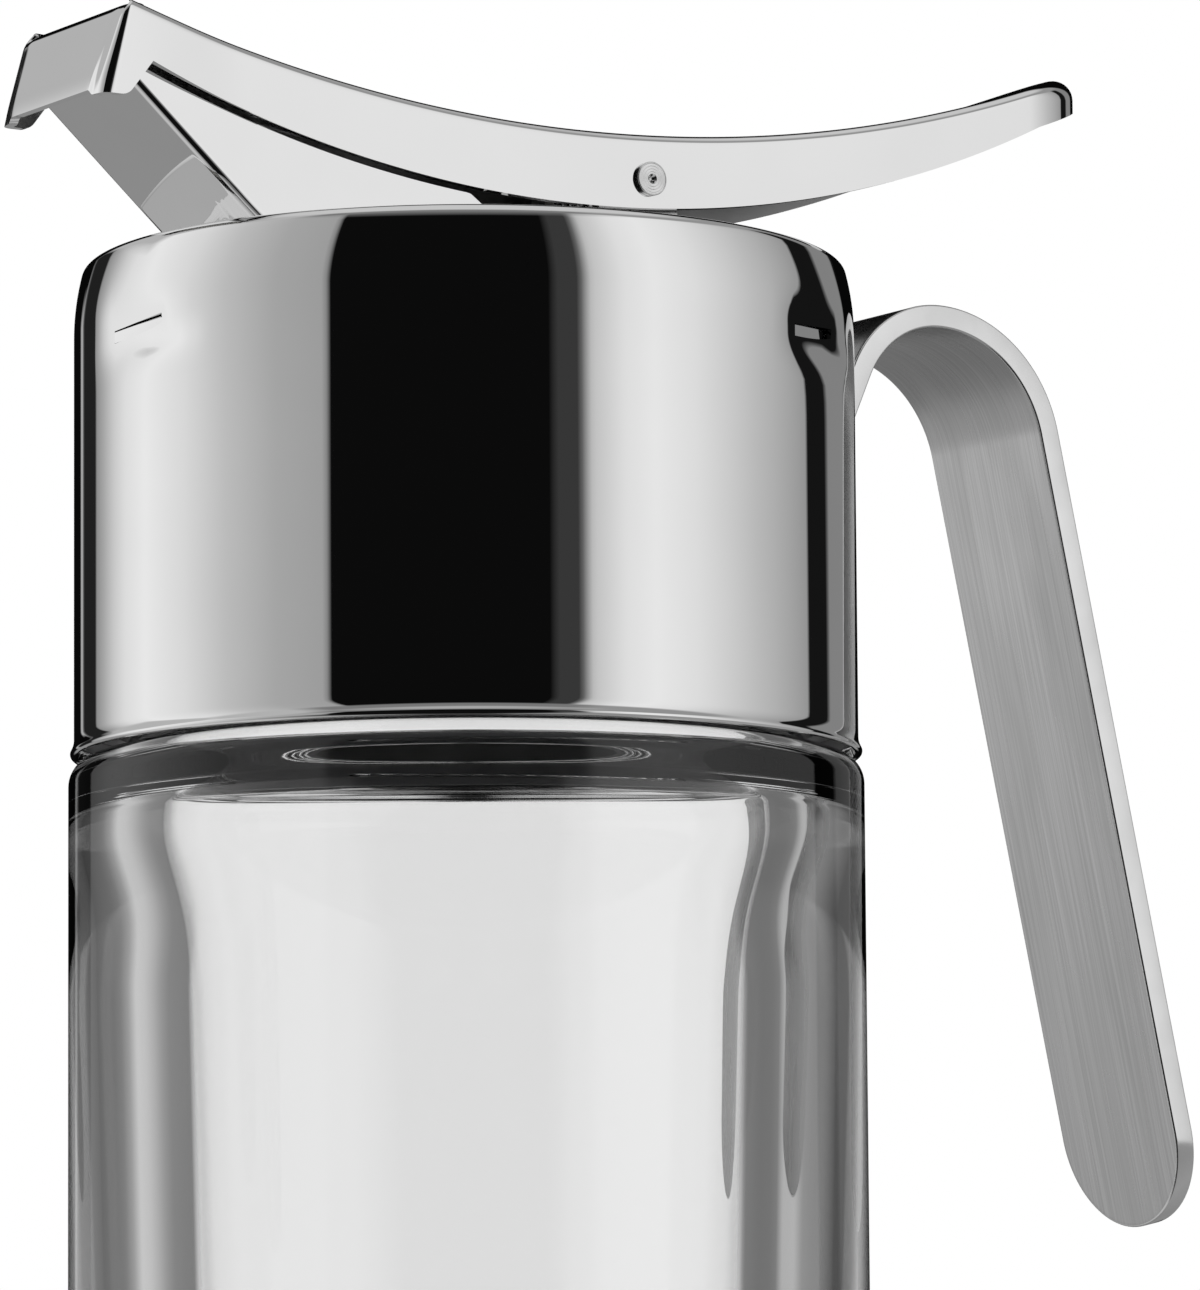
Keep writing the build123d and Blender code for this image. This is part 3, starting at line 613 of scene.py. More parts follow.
@dataclass
class GlassJar:
    """Thick glass jar with a thread of three ridges on its neck."""

    radius: float = 35.5
    wall_top: float = 81.4
    foot: float = 3.0
    foot_hollow: float = 0.5
    hollow_rings: tuple[float, float] = (12.0, 24.0)
    hollow_edge: float = 0.7  # part of the hollow's height that is left at its outer ring
    foot_rim: float = 3.0
    foot_lift: float = 0.06
    shoulder: float = 2.6
    shoulder_z: float = 84.0
    neck: float = 30.3
    neck_top: float = 99.0
    neck_ring: float = 0.6
    neck_fillet: float = 0.35
    lip: float = 1.0
    bulge: float = 27.0
    bulge_z: float = 77.5
    bore: float = 25.3
    pinch: tuple[float, float] = (78.4, 84.4)
    waist: tuple[float, float] = (24.6, 62.0)
    floor_radius: float = 23.2
    floor_z: float = 8.0
    floor_corner: float = 8.0
    floor_rings: tuple[float, float] = (10.0, 4.0)
    ridges: int = 3
    ridge_low: float = 6.2
    ridge_lead: float = 15.0
    ridge_span: float = 86.0
    ridge_depth: float = 1.2
    ridge_half: float = 0.8
    ridge_flank: float = 0.35
    ridge_run_out: float = 5.0
    columns: int = 288

    def profile(self) -> Array:
        """Half section from the middle of the base, up the outside, down the cavity to its floor.

        The cavity leaves its waist along the taper and reaches its widest place upright, by the cubic
        Hermite curve between the two. Under the neck it narrows to the bore by a smooth step.

        Returns:
            Radius and height of each row.
        """
        inner_foot = self.radius - self.foot
        taper = (self.waist[0] - self.floor_radius) / (self.waist[1] - self.floor_z - self.floor_corner)
        t = np.linspace(0, 1, 16)
        rise = self.bulge_z - self.waist[1]
        blend_r = (
            (2 * t**3 - 3 * t**2 + 1) * self.waist[0]
            + (t**3 - 2 * t**2 + t) * taper * rise
            + (3 * t**2 - 2 * t**3) * self.bulge
        )
        blend = np.column_stack([blend_r, self.waist[1] + t * rise])[::-1]
        corner = (self.floor_radius - self.floor_corner, self.floor_z + self.floor_corner)
        high = np.linspace(self.pinch[1], self.pinch[0], 26)
        heights = self.foot_hollow * np.array([1.0, 1.0, self.hollow_edge])
        hollow = np.column_stack([(0.0, *self.hollow_rings), heights])
        fillet = (self.neck + self.neck_fillet, self.shoulder_z + self.neck_fillet)
        lip_z = self.neck_top - self.lip
        return join(
            hollow,
            line((inner_foot - self.foot_rim, self.foot_lift), (inner_foot, 0.0), 4),
            arc((inner_foot, self.foot), self.foot, -90, 0, 12),
            line((self.radius, self.foot), (self.radius, self.wall_top), 36),
            arc((self.radius - self.shoulder, self.wall_top), self.shoulder, 0, 90, 16),
            line((self.neck + self.neck_ring, self.shoulder_z), (fillet[0], self.shoulder_z), 2),
            arc(fillet, self.neck_fillet, -90, -180, 5),
            line((self.neck, fillet[1]), (self.neck, lip_z), 64),
            arc((self.neck - self.lip, lip_z), self.lip, 0, 90, 8),
            arc((self.bore + self.lip, lip_z), self.lip, 90, 180, 8),
            line((self.bore, lip_z), (self.bore, self.pinch[1]), 10),
            np.column_stack([self.bulge - (self.bulge - self.bore) * smooth(*self.pinch, high), high]),
            blend,
            line(self.waist, (self.floor_radius, corner[1]), 24),
            arc(corner, self.floor_corner, 0, -90, 16),
            np.array([(ring, self.floor_z) for ring in (*self.floor_rings, 0.0)]),
        )

    def thread(self, azimuths: Array, heights: Array) -> Array:
        """How far the thread stands out: ridge depth times a smooth flank and a smooth run-out.

        Args:
            azimuths: radians, one per column.
            heights: mm, one per row.

        Returns:
            Rows by columns of mm.
        """
        turn = np.degrees(azimuths)[None, :]
        total = np.zeros((len(heights), len(azimuths)))
        for start in range(self.ridges):
            along = (turn - start * 360 / self.ridges) % 360
            middle = self.shoulder_z + self.ridge_low + self.ridge_lead * along / 360
            out = np.abs(heights[:, None] - middle)
            flank = 1 - smooth(self.ridge_half - self.ridge_flank, self.ridge_half, out)
            last = 1 - smooth(self.ridge_span - self.ridge_run_out, self.ridge_span, along)
            ends = smooth(0, self.ridge_run_out, along) * last
            total = np.maximum(total, self.ridge_depth * flank * ends)
        return total

    def build(self, wardrobe: Wardrobe) -> bpy.types.Object:
        """Builds the jar and puts it in place of the CAD jar.

        Args:
            wardrobe: where the finish comes from.

        Returns:
            The new piece.
        """
        azimuths = full_turn(self.columns)
        profile = self.profile()
        grid = revolve(profile, azimuths)
        above = profile[:, 1] > self.shoulder_z + self.neck_fillet / 2
        on_neck = (np.abs(profile[:, 0] - self.neck) < NEAR_MM) & above
        push = np.where(on_neck[:, None], self.thread(azimuths, profile[:, 1]), 0)
        grid[..., 0] += push * np.cos(azimuths)
        grid[..., 1] += push * np.sin(azimuths)
        skin = Skin()
        skin.surface(grid)
        piece = skin.build("jar_glass_body", sharp=60)
        wardrobe.dress(piece, Palette.GLASS)
        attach(piece, "jar")
        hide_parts("glass_jar")
        return piece


@dataclass
class Collar:
    """Deep-drawn collar with a crowned shoulder, a flared lip and three lanced tongues.

    A tongue is joined to the wall at one end, and a narrow slot parts the rest of it from the wall,
    which is dented round it. Places along a tongue are in degrees from its middle, towards its free end.
    """

    radius: float = 35.0
    rim_z: float = 84.0
    top_z: float = 128.0
    sheet: float = 0.7
    flare: float = 0.3
    flare_top: float = 85.6
    hem_z: float = 84.52
    crown: float = 22.8
    crown_angle: float = 14.0
    edge: float = 1.05
    outlet: float = 7.0
    outlet_x: float = -13.0
    deck_rows: tuple[float, ...] = (0, 0.08, 0.2, 0.35, 0.5, 0.65, 0.8, 0.9, 0.97)
    fine_rows: tuple[float, float] = (4.0, 5.5)  # mm below the slot where fine rows end and coarse ones start
    flare_lead: float = 0.4
    fine_columns: tuple[float, float] = (12.5, 12.8)  # the same for columns, in degrees from a tongue
    tongue_azimuths: tuple[float, ...] = (182.8, 300.4, 61.5)
    tongue_drop: float = 2.0
    tongue_half: float = 6.3
    tongue_half_height: float = 0.48
    tongue_curve: float = 0.5
    tongue_tip: float = 0.25
    tip_lead: float = 0.4
    tip_power: float = 2.4
    tip_fade: float = 2.5
    tongue_climb: float = 0.3
    climb_past: float = 1.2
    climb_fade: float = 3.0
    tongue_fall: tuple[float, float] = (1.25, 0.62)
    tongue_sheet: float = 0.55
    slit: float = 0.11
    slit_low: float = 0.03
    slit_end: float = 1.0
    carry: tuple[float, float] = (4.0, 1.3)  # mm below and above the slot over which the wall follows it
    dent: tuple[float, float] = (0.45, 0.65)  # depth of the bowls above and below the tongue
    dent_reach: tuple[float, float] = (2.6, 2.3)
    dent_change: tuple[float, float] = (-2.2, 1.4)
    dent_middle: tuple[float, float] = (0.0, 3.5)
    dent_left: tuple[float, float] = (9.5, 12.5)
    dent_right: float = 9.5
    dent_join: float = 0.74

    def crown_start(self) -> float:
        """Height where the straight wall ends."""
        rise = math.sin(math.radians(self.crown_angle))
        return self.top_z - self.edge * (1 - rise) - self.crown * rise

    def tongue_z(self) -> float:
        """Height of the tongues' middle line."""
        return self.crown_start() - self.tongue_drop

    def slot(self) -> tuple[float, float]:
        """How far the slot reaches below and above the tongue's middle line."""
        return self.tongue_half_height + self.slit_low, self.tongue_half_height + self.slit

    def wall_profile(self, inset: float) -> Array:
        """Half section from the flat top's edge down to the lip, moved inwards by inset.

        The lip's flare is a parabola, flare times the square of the part of the way down, and its edge
        is a half round as thick as the sheet, which turns from the flare's own direction.

        Args:
            inset: how far this skin lies inside the outer one, in mm.

        Returns:
            Radius and height of each row.
        """
        start = self.crown_start()
        turn = math.radians(self.crown_angle)
        radius = self.radius - inset
        centre = (self.radius - self.crown, start)
        end = (centre[0] + self.crown * math.cos(turn), centre[1] + self.crown * math.sin(turn))
        edge_centre = (end[0] - self.edge * math.cos(turn), end[1] - self.edge * math.sin(turn))
        tongue_z = self.tongue_z()
        low, high = self.slot()
        fine_end, coarse_start = self.fine_rows
        heights = np.concatenate(
            [
                np.linspace(start, tongue_z + high, 7),
                tongue_z + np.linspace(high, -low, 5)[1:-1],
                np.linspace(tongue_z - low, tongue_z - low - fine_end, 18),
                np.linspace(tongue_z - low - coarse_start, self.flare_top + self.flare_lead, 18),
            ]
        )
        drop = np.linspace(0, 1, 8)
        flare_z = self.flare_top - drop * (self.flare_top - self.hem_z)
        lean = math.atan(2 * self.flare / (self.flare_top - self.hem_z))
        half = self.sheet / 2
        lip = (self.radius + self.flare - half * math.cos(lean), self.hem_z - half * math.sin(lean))
        slope = math.degrees(lean)
        return join(
            arc(edge_centre, self.edge - inset, 90, self.crown_angle, 12),
            arc(centre, self.crown - inset, self.crown_angle, 0, 14),
            np.column_stack([np.full(len(heights), radius), heights]),
            np.column_stack([radius + self.flare * drop**2, flare_z]),
            arc(lip, half, slope if inset == 0 else slope - 180, -90, 9),
        )

    def columns(self) -> Array:
        """Places the columns: one a degree, and close together at each tongue.

        Returns:
            Azimuths in degrees.
        """
        edge = self.tongue_half
        reach, clear_reach = self.fine_columns
        near = np.concatenate(
            [np.linspace(-reach, -edge, 21), np.linspace(-edge, edge, 33), np.linspace(edge, reach, 21)]
        )
        fine = [(azimuth + near) % 360 for azimuth in self.tongue_azimuths]
        coarse = np.arange(0, 360, 1.0)
        clear = np.ones(len(coarse), dtype=bool)
        for azimuth in self.tongue_azimuths:
            clear &= np.abs(turned_from(coarse, azimuth)) > clear_reach
        return np.unique(np.round(np.concatenate([coarse[clear], *fine]), 6))

    def rise(self, along: Array) -> Array:
        """How far the tongue's lower edge rises towards its free end: a power of the way along.

        Args:
            along: degrees from the tongue's middle, towards its free end.

        Returns:
            Rise in mm, which fades out past the end.
        """
        lead = self.tip_lead * self.tongue_half
        part = np.clip((along + lead) / (self.tongue_half + lead), 0, 1)
        past = 1 - smooth(self.tongue_half, self.tongue_half + self.tip_fade, along)
        return self.tongue_tip * part**self.tip_power * past

    def climb(self, along: Array) -> Array:
        """How far the tongue and its slot climb: in line with the way along, gone a little past the ends."""
        fade = 1 - smooth(self.tongue_half, self.tongue_half + self.climb_fade, np.abs(along))
        return self.tongue_climb * np.clip(along / self.tongue_half, -self.climb_past, self.climb_past) * fade

    def bowl(self, along: Array, place: int) -> Array:
        """Depth of one of the two bowls as a part of its full depth.

        It is one minus the square of the way from the bowl's middle, which makes the wall nearly flat.
        From the join on it is what is left there times the square of the part of the run-out that is
        still to go, so it ends without a crease.

        Args:
            along: degrees from the tongue's middle, towards its free end.
            place: 0 for the bowl above the tongue, 1 for the bowl below it.

        Returns:
            Part of the full depth.
        """
        way = along - self.dent_middle[place]
        way = np.abs(way) / np.where(way < 0, self.dent_left[place], self.dent_right)
        left = 1 - self.dent_join**2
        tail = left / self.dent_join
        fall = left * np.clip(1 - (way - self.dent_join) / tail, 0, 1) ** 2
        return np.where(way < self.dent_join, 1 - way**2, fall)

    def dip(self, along: Array, above: Array) -> Array:
        """Depth of the wall's dent round a tongue.

        A bell curve of the height above or below the tongue, times the bowl of that side. The two bowls
        change into each other over a few millimetres of height.

        Args:
            along: degrees from the tongue's middle, towards its free end.
            above: mm above the tongue's middle line.

        Returns:
            Depth in mm.
        """
        clear = np.maximum(np.abs(above) - self.tongue_half_height, 0)
        bell = np.exp(-((clear / np.where(above > 0, *self.dent_reach)) ** 2))
        upper = smooth(*self.dent_change, above)
        high = self.dent[0] * self.bowl(along, 0)
        low = self.dent[1] * self.bowl(along, 1)
        return bell * (upper * high + (1 - upper) * low)

    def grid(self, inset: float, azimuths: Array) -> Array:
        """One skin of the collar: the flat top from the outlet outwards, then the wall.

        The flat top runs between two circles, (1 - t) times the outlet's circle plus t times the edge's
        circle. Each tongue sits in a dent of the wall. The rows near a slot move with it, so its lower
        edge rises with the tongue's and the whole slot climbs with the tongue.

        Args:
            inset: how far this skin lies inside the outer one, in mm.
            azimuths: azimuth of each column in degrees.

        Returns:
            Grid of points, rows by columns by 3.
        """
        turn = np.radians(azimuths)
        wall = revolve(self.wall_profile(inset), turn)
        tongue_z = self.tongue_z()
        low, _ = self.slot()
        under, over = self.carry
        alongs = [turned_from(azimuths, azimuth)[None, :] for azimuth in self.tongue_azimuths]
        for along in alongs:
            drop = tongue_z - low - wall[..., 2]
            fade = 1 - smooth(0, under, drop)
            carry = np.where(drop > -NEAR_MM, fade, np.clip(1 + drop / (2 * low), 0, 1))
            wall[..., 2] += self.rise(along) * carry
            wall[..., 2] += self.climb(along) * (fade - smooth(0, over, -drop - 2 * low))
        wall[..., 2] = np.maximum(wall[..., 2], self.rim_z)
        push = sum(self.dip(along, wall[..., 2] - tongue_z) for along in alongs)
        wall[..., 0] -= push * np.cos(turn)
        wall[..., 1] -= push * np.sin(turn)
        hole_x = self.outlet_x + self.outlet * np.cos(turn)
        hole = np.stack([hole_x, self.outlet * np.sin(turn), np.full(len(turn), self.top_z - inset)], -1)
        return np.concatenate([fan(hole, wall[0], self.deck_rows), wall])

    def tongue(self, azimuth: float) -> tuple[Array, Array]:
        """Grids of one tongue, which leaves the wall at its root and sinks to its tip.

        Its sink grows from the dent's own depth at the root by a p - b p p, where p is the part of the
        way to the tip, which takes the wall's roundness out of it and makes it flat. Its tip is cut to a
        curve: the tongue ends sooner near its top and bottom edges.

        Args:
            azimuth: azimuth of the tongue's middle in degrees.

        Returns:
            Outer and inner grids, rows by columns by 3.
        """
        edge = self.tongue_half
        across = np.linspace(-1, 1, 9)[:, None]
        part = np.linspace(0, 1, 30)[None, :]
        end = edge - self.slit_end - self.tongue_curve * across**2
        along = -edge + part * (end + edge)
        middle = self.tongue_z() + self.climb(along)
        low = middle - self.tongue_half_height + self.rise(along)
        high = middle + self.tongue_half_height
        height = low + (across + 1) / 2 * (high - low)
        start = self.dip(np.array(-edge), np.array(0.0))
        sink = start + self.tongue_fall[0] * part - self.tongue_fall[1] * part**2
        turn = np.radians(azimuth + along)
        outer, inner = self.radius - sink, self.radius - sink - self.tongue_sheet
        grids = [np.stack([r * np.cos(turn), r * np.sin(turn), height], -1) for r in (outer, inner)]
        return grids[0], grids[1]

    def build(self, wardrobe: Wardrobe) -> bpy.types.Object:
        """Builds the collar with its tongues and puts it in place of the CAD collar.

        Args:
            wardrobe: where the finish comes from.

        Returns:
            The new piece.
        """
        azimuths = self.columns()
        outer, inner = self.grid(0.0, azimuths), self.grid(self.sheet, azimuths)
        heights = self.wall_profile(0.0)[:, 1]
        above = (heights[:-1] + heights[1:]) / 2 - self.tongue_z()
        low, high = self.slot()
        in_slot = np.zeros(outer.shape[0] - 1, dtype=bool)
        in_slot[-len(above) :] = (above > -low) & (above < high)
        middle = (azimuths + np.append(azimuths[1:], azimuths[0] + 360)) / 2
        keep = np.ones((outer.shape[0] - 1, outer.shape[1]), dtype=bool)
        for azimuth in self.tongue_azimuths:
            inside = np.abs(turned_from(middle, azimuth)) < self.tongue_half
            keep &= ~(inside[None, :] & in_slot[:, None])
        skin = Skin()
        skin.sheet(outer, inner, wrap=True, keep=keep)
        for azimuth in self.tongue_azimuths:
            skin.sheet(*self.tongue(azimuth), wrap=False)
        piece = skin.build("collar_drawn_sheet")
        wardrobe.dress(piece, Palette.MIRROR)
        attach(piece, "cap")
        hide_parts("collar_shell")
        return piece


@dataclass
class LeverForm:
    """The two arcs that shape the lever, which the spout's side walls follow as well."""

    top_radius: float = 153.5
    top_centre: tuple[float, float] = (5.65, 293.9)
    edge_stations: tuple[float, float, float] = (-37.2, 14.2, 58.1)
    edge_depths: tuple[float, float, float] = (4.81, 6.84, 3.88)

    def top(self, x: Array, below: float = 0.0) -> Array:
        """Height of the roof: the lower half of a circle about a point above it."""
        return self.top_centre[1] - np.sqrt((self.top_radius + below) ** 2 - (x - self.top_centre[0]) ** 2)

    def slope(self, x: Array) -> Array:
        """Rise of the roof for each mm of x."""
        return (x - self.top_centre[0]) / np.sqrt(self.top_radius**2 - (x - self.top_centre[0]) ** 2)

    def edge(self, x: Array, below: float = 0.0) -> Array:
        """Height of the flange's lower edge: the circle through three depths under the roof.

        Args:
            x: where, in mm.
            below: how far under the edge, square to it, in mm.

        Returns:
            Heights in mm.
        """
        xs = np.array(self.edge_stations)
        zs = self.top(xs) - np.array(self.edge_depths)
        lhs = np.column_stack([2 * (xs[1:] - xs[0]), 2 * (zs[1:] - zs[0])])
        rhs = xs[1:] ** 2 - xs[0] ** 2 + zs[1:] ** 2 - zs[0] ** 2
        centre_x, centre_z = np.linalg.solve(lhs, rhs)
        radius = math.hypot(xs[0] - centre_x, zs[0] - centre_z)
        return centre_z - np.sqrt((radius + below) ** 2 - (x - centre_x) ** 2)


@dataclass
class LidLever:
    """Lever of bent sheet: a roof with a skirt all round, which is the spout's lid at its front."""

    form: LeverForm
    half_width: float = 8.9
    lid_flare: float = 0.4
    sheet: float = 0.8
    front_top: float = -39.75
    front_bottom: float = -42.5
    plate_height: float = 8.7
    plate_columns: int = 23
    tip_z: float = 138.5
    tip_back: float = -39.65
    notch: float = -37.2
    end_x: float = 66.5
    end_round: float = 9.7
    end_depth: float = 3.88
    split: float = -30.0
    foot: float = 0.7
    side_bend: float = 1.0
    front_bend: float = 1.9
    end_bend: float = 1.9
    end_bend_run: float = 0.65
    front_corner: tuple[float, float] = (0.45, 1.3)
    least_corner: float = 0.25
    soft_turn: float = 9.0
    soft_radius: float = 11.0
    flare_run: tuple[float, float] = (-28.0, -38.5)
    lid_lift: float = 0.5
    lift_run: tuple[float, float] = (6.9, 7.6)
    lid_tuck: float = 0.16
    tuck_start: float = 0.66
    spine_back: float = 0.5
    roof_rows: tuple[float, ...] = (0, 0.2, 0.4, 0.6, 0.78, 0.9, 0.97)
    skirt_rows: tuple[float, ...] = (0.03, 0.1, 0.25, 0.4, 0.55, 0.66, 0.76, 0.84, 0.9, 0.95, 0.98, 1.0)

    def turn_path(self, radius: float) -> tuple[Array, Array]:
        """Quarter turn in plan whose radius depends on the heading.

        The path is the running sum of radius times the heading's sine and cosine. The first degrees
        from the plate have a large radius, so the plate's edge rolls off before the corner.

        Args:
            radius: the corner's radius in mm.

        Returns:
            Headings from the plate's normal (0) to the side's (90 degrees) in radians, and for each the
            distances that are left to the side's sharp corner, along the side and along the plate.
        """
        gentle = np.radians(np.linspace(0, self.soft_turn, 9))
        tight = np.radians(np.linspace(self.soft_turn, 90, 15))[1:]
        heading = np.concatenate([gentle, tight])
        size = np.where(heading <= gentle[-1], self.soft_radius, radius)
        step = np.diff(heading)
        mid = (heading[1:] + heading[:-1]) / 2
        chord = size[1:] * step
        back = np.concatenate([[0], np.cumsum(chord * np.sin(mid))])
        over = np.concatenate([[0], np.cumsum(chord * np.cos(mid))])
        return heading, np.column_stack([back, over[-1] - over])

    def lid_columns(self, inset: float) -> tuple[Array, Array, Array]:
        """Plan of the lid's front plate and its two corners, from the far side to the near side.

        Args:
            inset: how far this skin lies inside the outer one, in mm.

        Returns:
            Upper and lower plan points (x, y), and the heading of each column.
        """
        lean = math.hypot(1, (self.front_top - self.front_bottom) / self.plate_height)
        width = self.half_width + self.lid_flare - inset
        count = self.plate_columns
        plans = []
        for place, corner_radius in zip((self.front_top, self.front_bottom), self.front_corner):
            heading, left = self.turn_path(max(corner_radius - inset, self.least_corner))
            corner = np.column_stack([place + inset * lean + left[:, 0], width - left[:, 1]])[::-1]
            flat = corner[-1, 1] * np.linspace(1, -1, count + 2)[1:-1]
            plate = np.column_stack([np.full(count, corner[-1, 0]), flat])
            plans.append(np.concatenate([corner, plate, mirrored(corner)]))
        headings = np.concatenate([heading[::-1], np.zeros(count), -heading])
        return plans[0], plans[1], headings

    def thumb_columns(self, inset: float) -> tuple[Array, Array, Array]:
        """Plan of the thumb end, half an oval, from the near side to the far side.

        A point whose outward direction is n = (sin h, -cos h) lies at (e e sin h, -w w cos h) / s, where e
        and w are the oval's half axes and s is the root of (e sin h) squared plus (w cos h) squared.

        Args:
            inset: how far this skin lies inside the outer one, in mm.

        Returns:
            Plan points of this skin and of the outer skin, and the outward directions.
        """
        heading = np.radians(np.linspace(0, 180, 85))
        out = np.column_stack([np.sin(heading), -np.cos(heading)])
        axes = np.array([self.end_round, self.half_width])
        reach = np.linalg.norm(axes * out, axis=1, keepdims=True)
        outer = axes**2 * out / reach + np.array([self.end_x - self.end_round, 0.0])
        return outer - inset * out, outer, out

    def skirt_low(self, x: Array) -> Array:
        """Height of the skirt's lower edge behind the notch: the arc, but no higher than a set depth."""
        return np.minimum(self.form.edge(x), self.form.top(x) - self.end_depth)

    def columns(self, inset: float) -> dict[str, Array]:
        """Sharp upper corner, lower edge and outward direction of each column round the lever.

        The columns run from the thumb end along the far side to the lid, across it, back along the near
        side and round the thumb end.

        Args:
            inset: how far this skin lies inside the outer one, in mm.

        Returns:
            Arrays by name: upper, lower, out, bend and plate (1 on the lid's front plate).
        """
        half = self.half_width - inset
        lid_up, lid_down, lid_head = self.lid_columns(inset)
        thumb, thumb_outer, thumb_out = self.thumb_columns(inset)
        long_x = np.linspace(self.end_x - self.end_round, self.split, 110)[1:-1]
        tip = self.tip_path(lid_down[0, 0])
        part = np.concatenate([[0], np.cumsum(np.linalg.norm(np.diff(tip, axis=0), axis=1))])
        tip_x = self.split + (lid_up[0, 0] - self.split) * part / part[-1]
        side_x = np.concatenate([long_x, tip_x[:-1]])
        low_x = np.concatenate([long_x, tip[:-1, 0]])
        low_z = np.concatenate([self.skirt_low(long_x), tip[:-1, 1]])
        wide = half + self.lid_flare * smooth(*self.flare_run, side_x)
        wide_low = half + self.lid_flare * smooth(*self.flare_run, low_x)
        far_up = np.column_stack([side_x, wide, self.form.top(side_x)])
        far_low = np.column_stack([low_x, wide_low, low_z])
        lid_upper = np.column_stack([lid_up, self.form.top(lid_up[:, 0])])
        lift = self.lid_lift * (1 - smooth(*self.lift_run, np.abs(lid_down[:, 1])))
        lid_lower = np.column_stack([lid_down, self.tip_z + lift])
        thumb_upper = np.column_stack([thumb, self.form.top(thumb[:, 0])])
        thumb_lower = np.column_stack([thumb, self.skirt_low(thumb_outer[:, 0])])
        count = len(side_x)
        side_out = np.tile([0.0, 1.0, 0.0], (count, 1))
        lid_out = np.column_stack([-np.cos(lid_head), np.sin(lid_head), np.zeros(len(lid_head))])
        thumb_out = np.column_stack([thumb_out, np.zeros(len(thumb_out))])
        side_bend = np.full(count, self.side_bend)
        lid_bend = self.side_bend + (self.front_bend - self.side_bend) * np.cos(lid_head) ** 2
        share = smooth(0, self.end_bend_run, thumb_out[:, 0])
        thumb_bend = self.side_bend + (self.end_bend - self.side_bend) * share
        bends = np.concatenate([side_bend, lid_bend, side_bend, thumb_bend])
        return {
            "upper": np.concatenate([far_up, lid_upper, mirrored(far_up), thumb_upper]),
            "lower": np.concatenate([far_low, lid_lower, mirrored(far_low), thumb_lower]),
            "out": np.concatenate([side_out, lid_out, mirrored(side_out), thumb_out]),
            "bend": np.maximum(bends - inset, LEAST_BEND),
            "plate": np.concatenate([np.zeros(count), np.cos(lid_head) ** 4, np.zeros(count + len(thumb))]),
        }

    def tip_path(self, end_x: float) -> Array:
        """Lower edge of the side near the lid, as (x, z): along the arc, up to the notch, down the tip.

        The tip's foot is rounded by a quadratic curve: (1 - t) squared times its start, plus 2 t (1 - t)
        times its corner, plus t squared times its end.

        Args:
            end_x: x where the lid's corner begins.

        Returns:
            Points of the path.
        """
        notch_z = float(self.form.edge(np.array(self.notch)))
        stations = np.linspace(self.split, self.notch, 22)
        along = np.column_stack([stations, self.form.edge(stations)])
        down = unit(np.array([self.tip_back - self.notch, self.tip_z - notch_z]))
        corner = np.array([self.tip_back, self.tip_z])
        start = corner - down * self.foot
        end = corner - [self.foot, 0.0]
        t = np.linspace(0, 1, 8)[:, None]
        rounding = (1 - t) ** 2 * start + 2 * t * (1 - t) * corner + t**2 * end
        slide = np.linspace(along[-1], start, 12)[1:-1]
        last = np.linspace(rounding[-1], [end_x, self.tip_z], 4)[1:]
        return np.concatenate([along, slide, rounding, last])

    def grid(self, inset: float) -> Array:
        """One skin of the lever: roof rows from the spine, the bend, then the skirt to the lower edge.

        The lid's plate curves inwards near its lower edge, by the tuck times the square of the part of
        the way from the tuck's start.

        Args:
            inset: how far this skin lies inside the outer one, in mm.

        Returns:
            Grid of points, rows by columns by 3.
        """
        parts = self.columns(inset)
        upper, lower, out = parts["upper"], parts["lower"], parts["out"]
        x = upper[:, 0]
        inward = -np.column_stack([out[:, 0], out[:, 1], out[:, 0] * self.form.slope(x)])
        upper = np.column_stack([upper[:, :2], self.form.top(x, inset)])
        bend = rounded_corner(upper, inward, lower - upper, parts["bend"], 11)
        start, end = bend[0], bend[-1]
        spine_end = self.end_x - self.end_round - self.spine_back
        spine = np.stack([np.clip(start[:, 0], self.split, spine_end), np.zeros(len(x))], -1)
        plan = fan(spine, start[:, :2], self.roof_rows)
        roof = np.concatenate([plan, self.form.top(plan[..., :1], inset)], -1)
        skirt = fan(end, lower, self.skirt_rows)
        way = (np.array(self.skirt_rows)[:, None] - self.tuck_start) / (1 - self.tuck_start)
        skirt[..., 0] += self.lid_tuck * np.clip(way, 0, 1) ** 2 * parts["plate"]
        return np.concatenate([roof, bend, skirt])

    def build(self, wardrobe: Wardrobe) -> bpy.types.Object:
        """Builds the lever and puts it in place of the CAD lever.

        Args:
            wardrobe: where the finishes come from.

        Returns:
            The new piece.
        """
        outer, inner = self.grid(0.0), self.grid(self.sheet)
        skin = Skin()
        skin.sheet(outer, inner, wrap=True, inside=1)
        piece = skin.build("lever_bent_sheet")
        # The inner faces get the darker stainless, painted shade for the hollow under the lever.
        wardrobe.dress(piece, Palette.MIRROR, Palette.SHADED_INSIDE)
        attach(piece, "lever")
        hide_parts("lid_lever")
        return piece


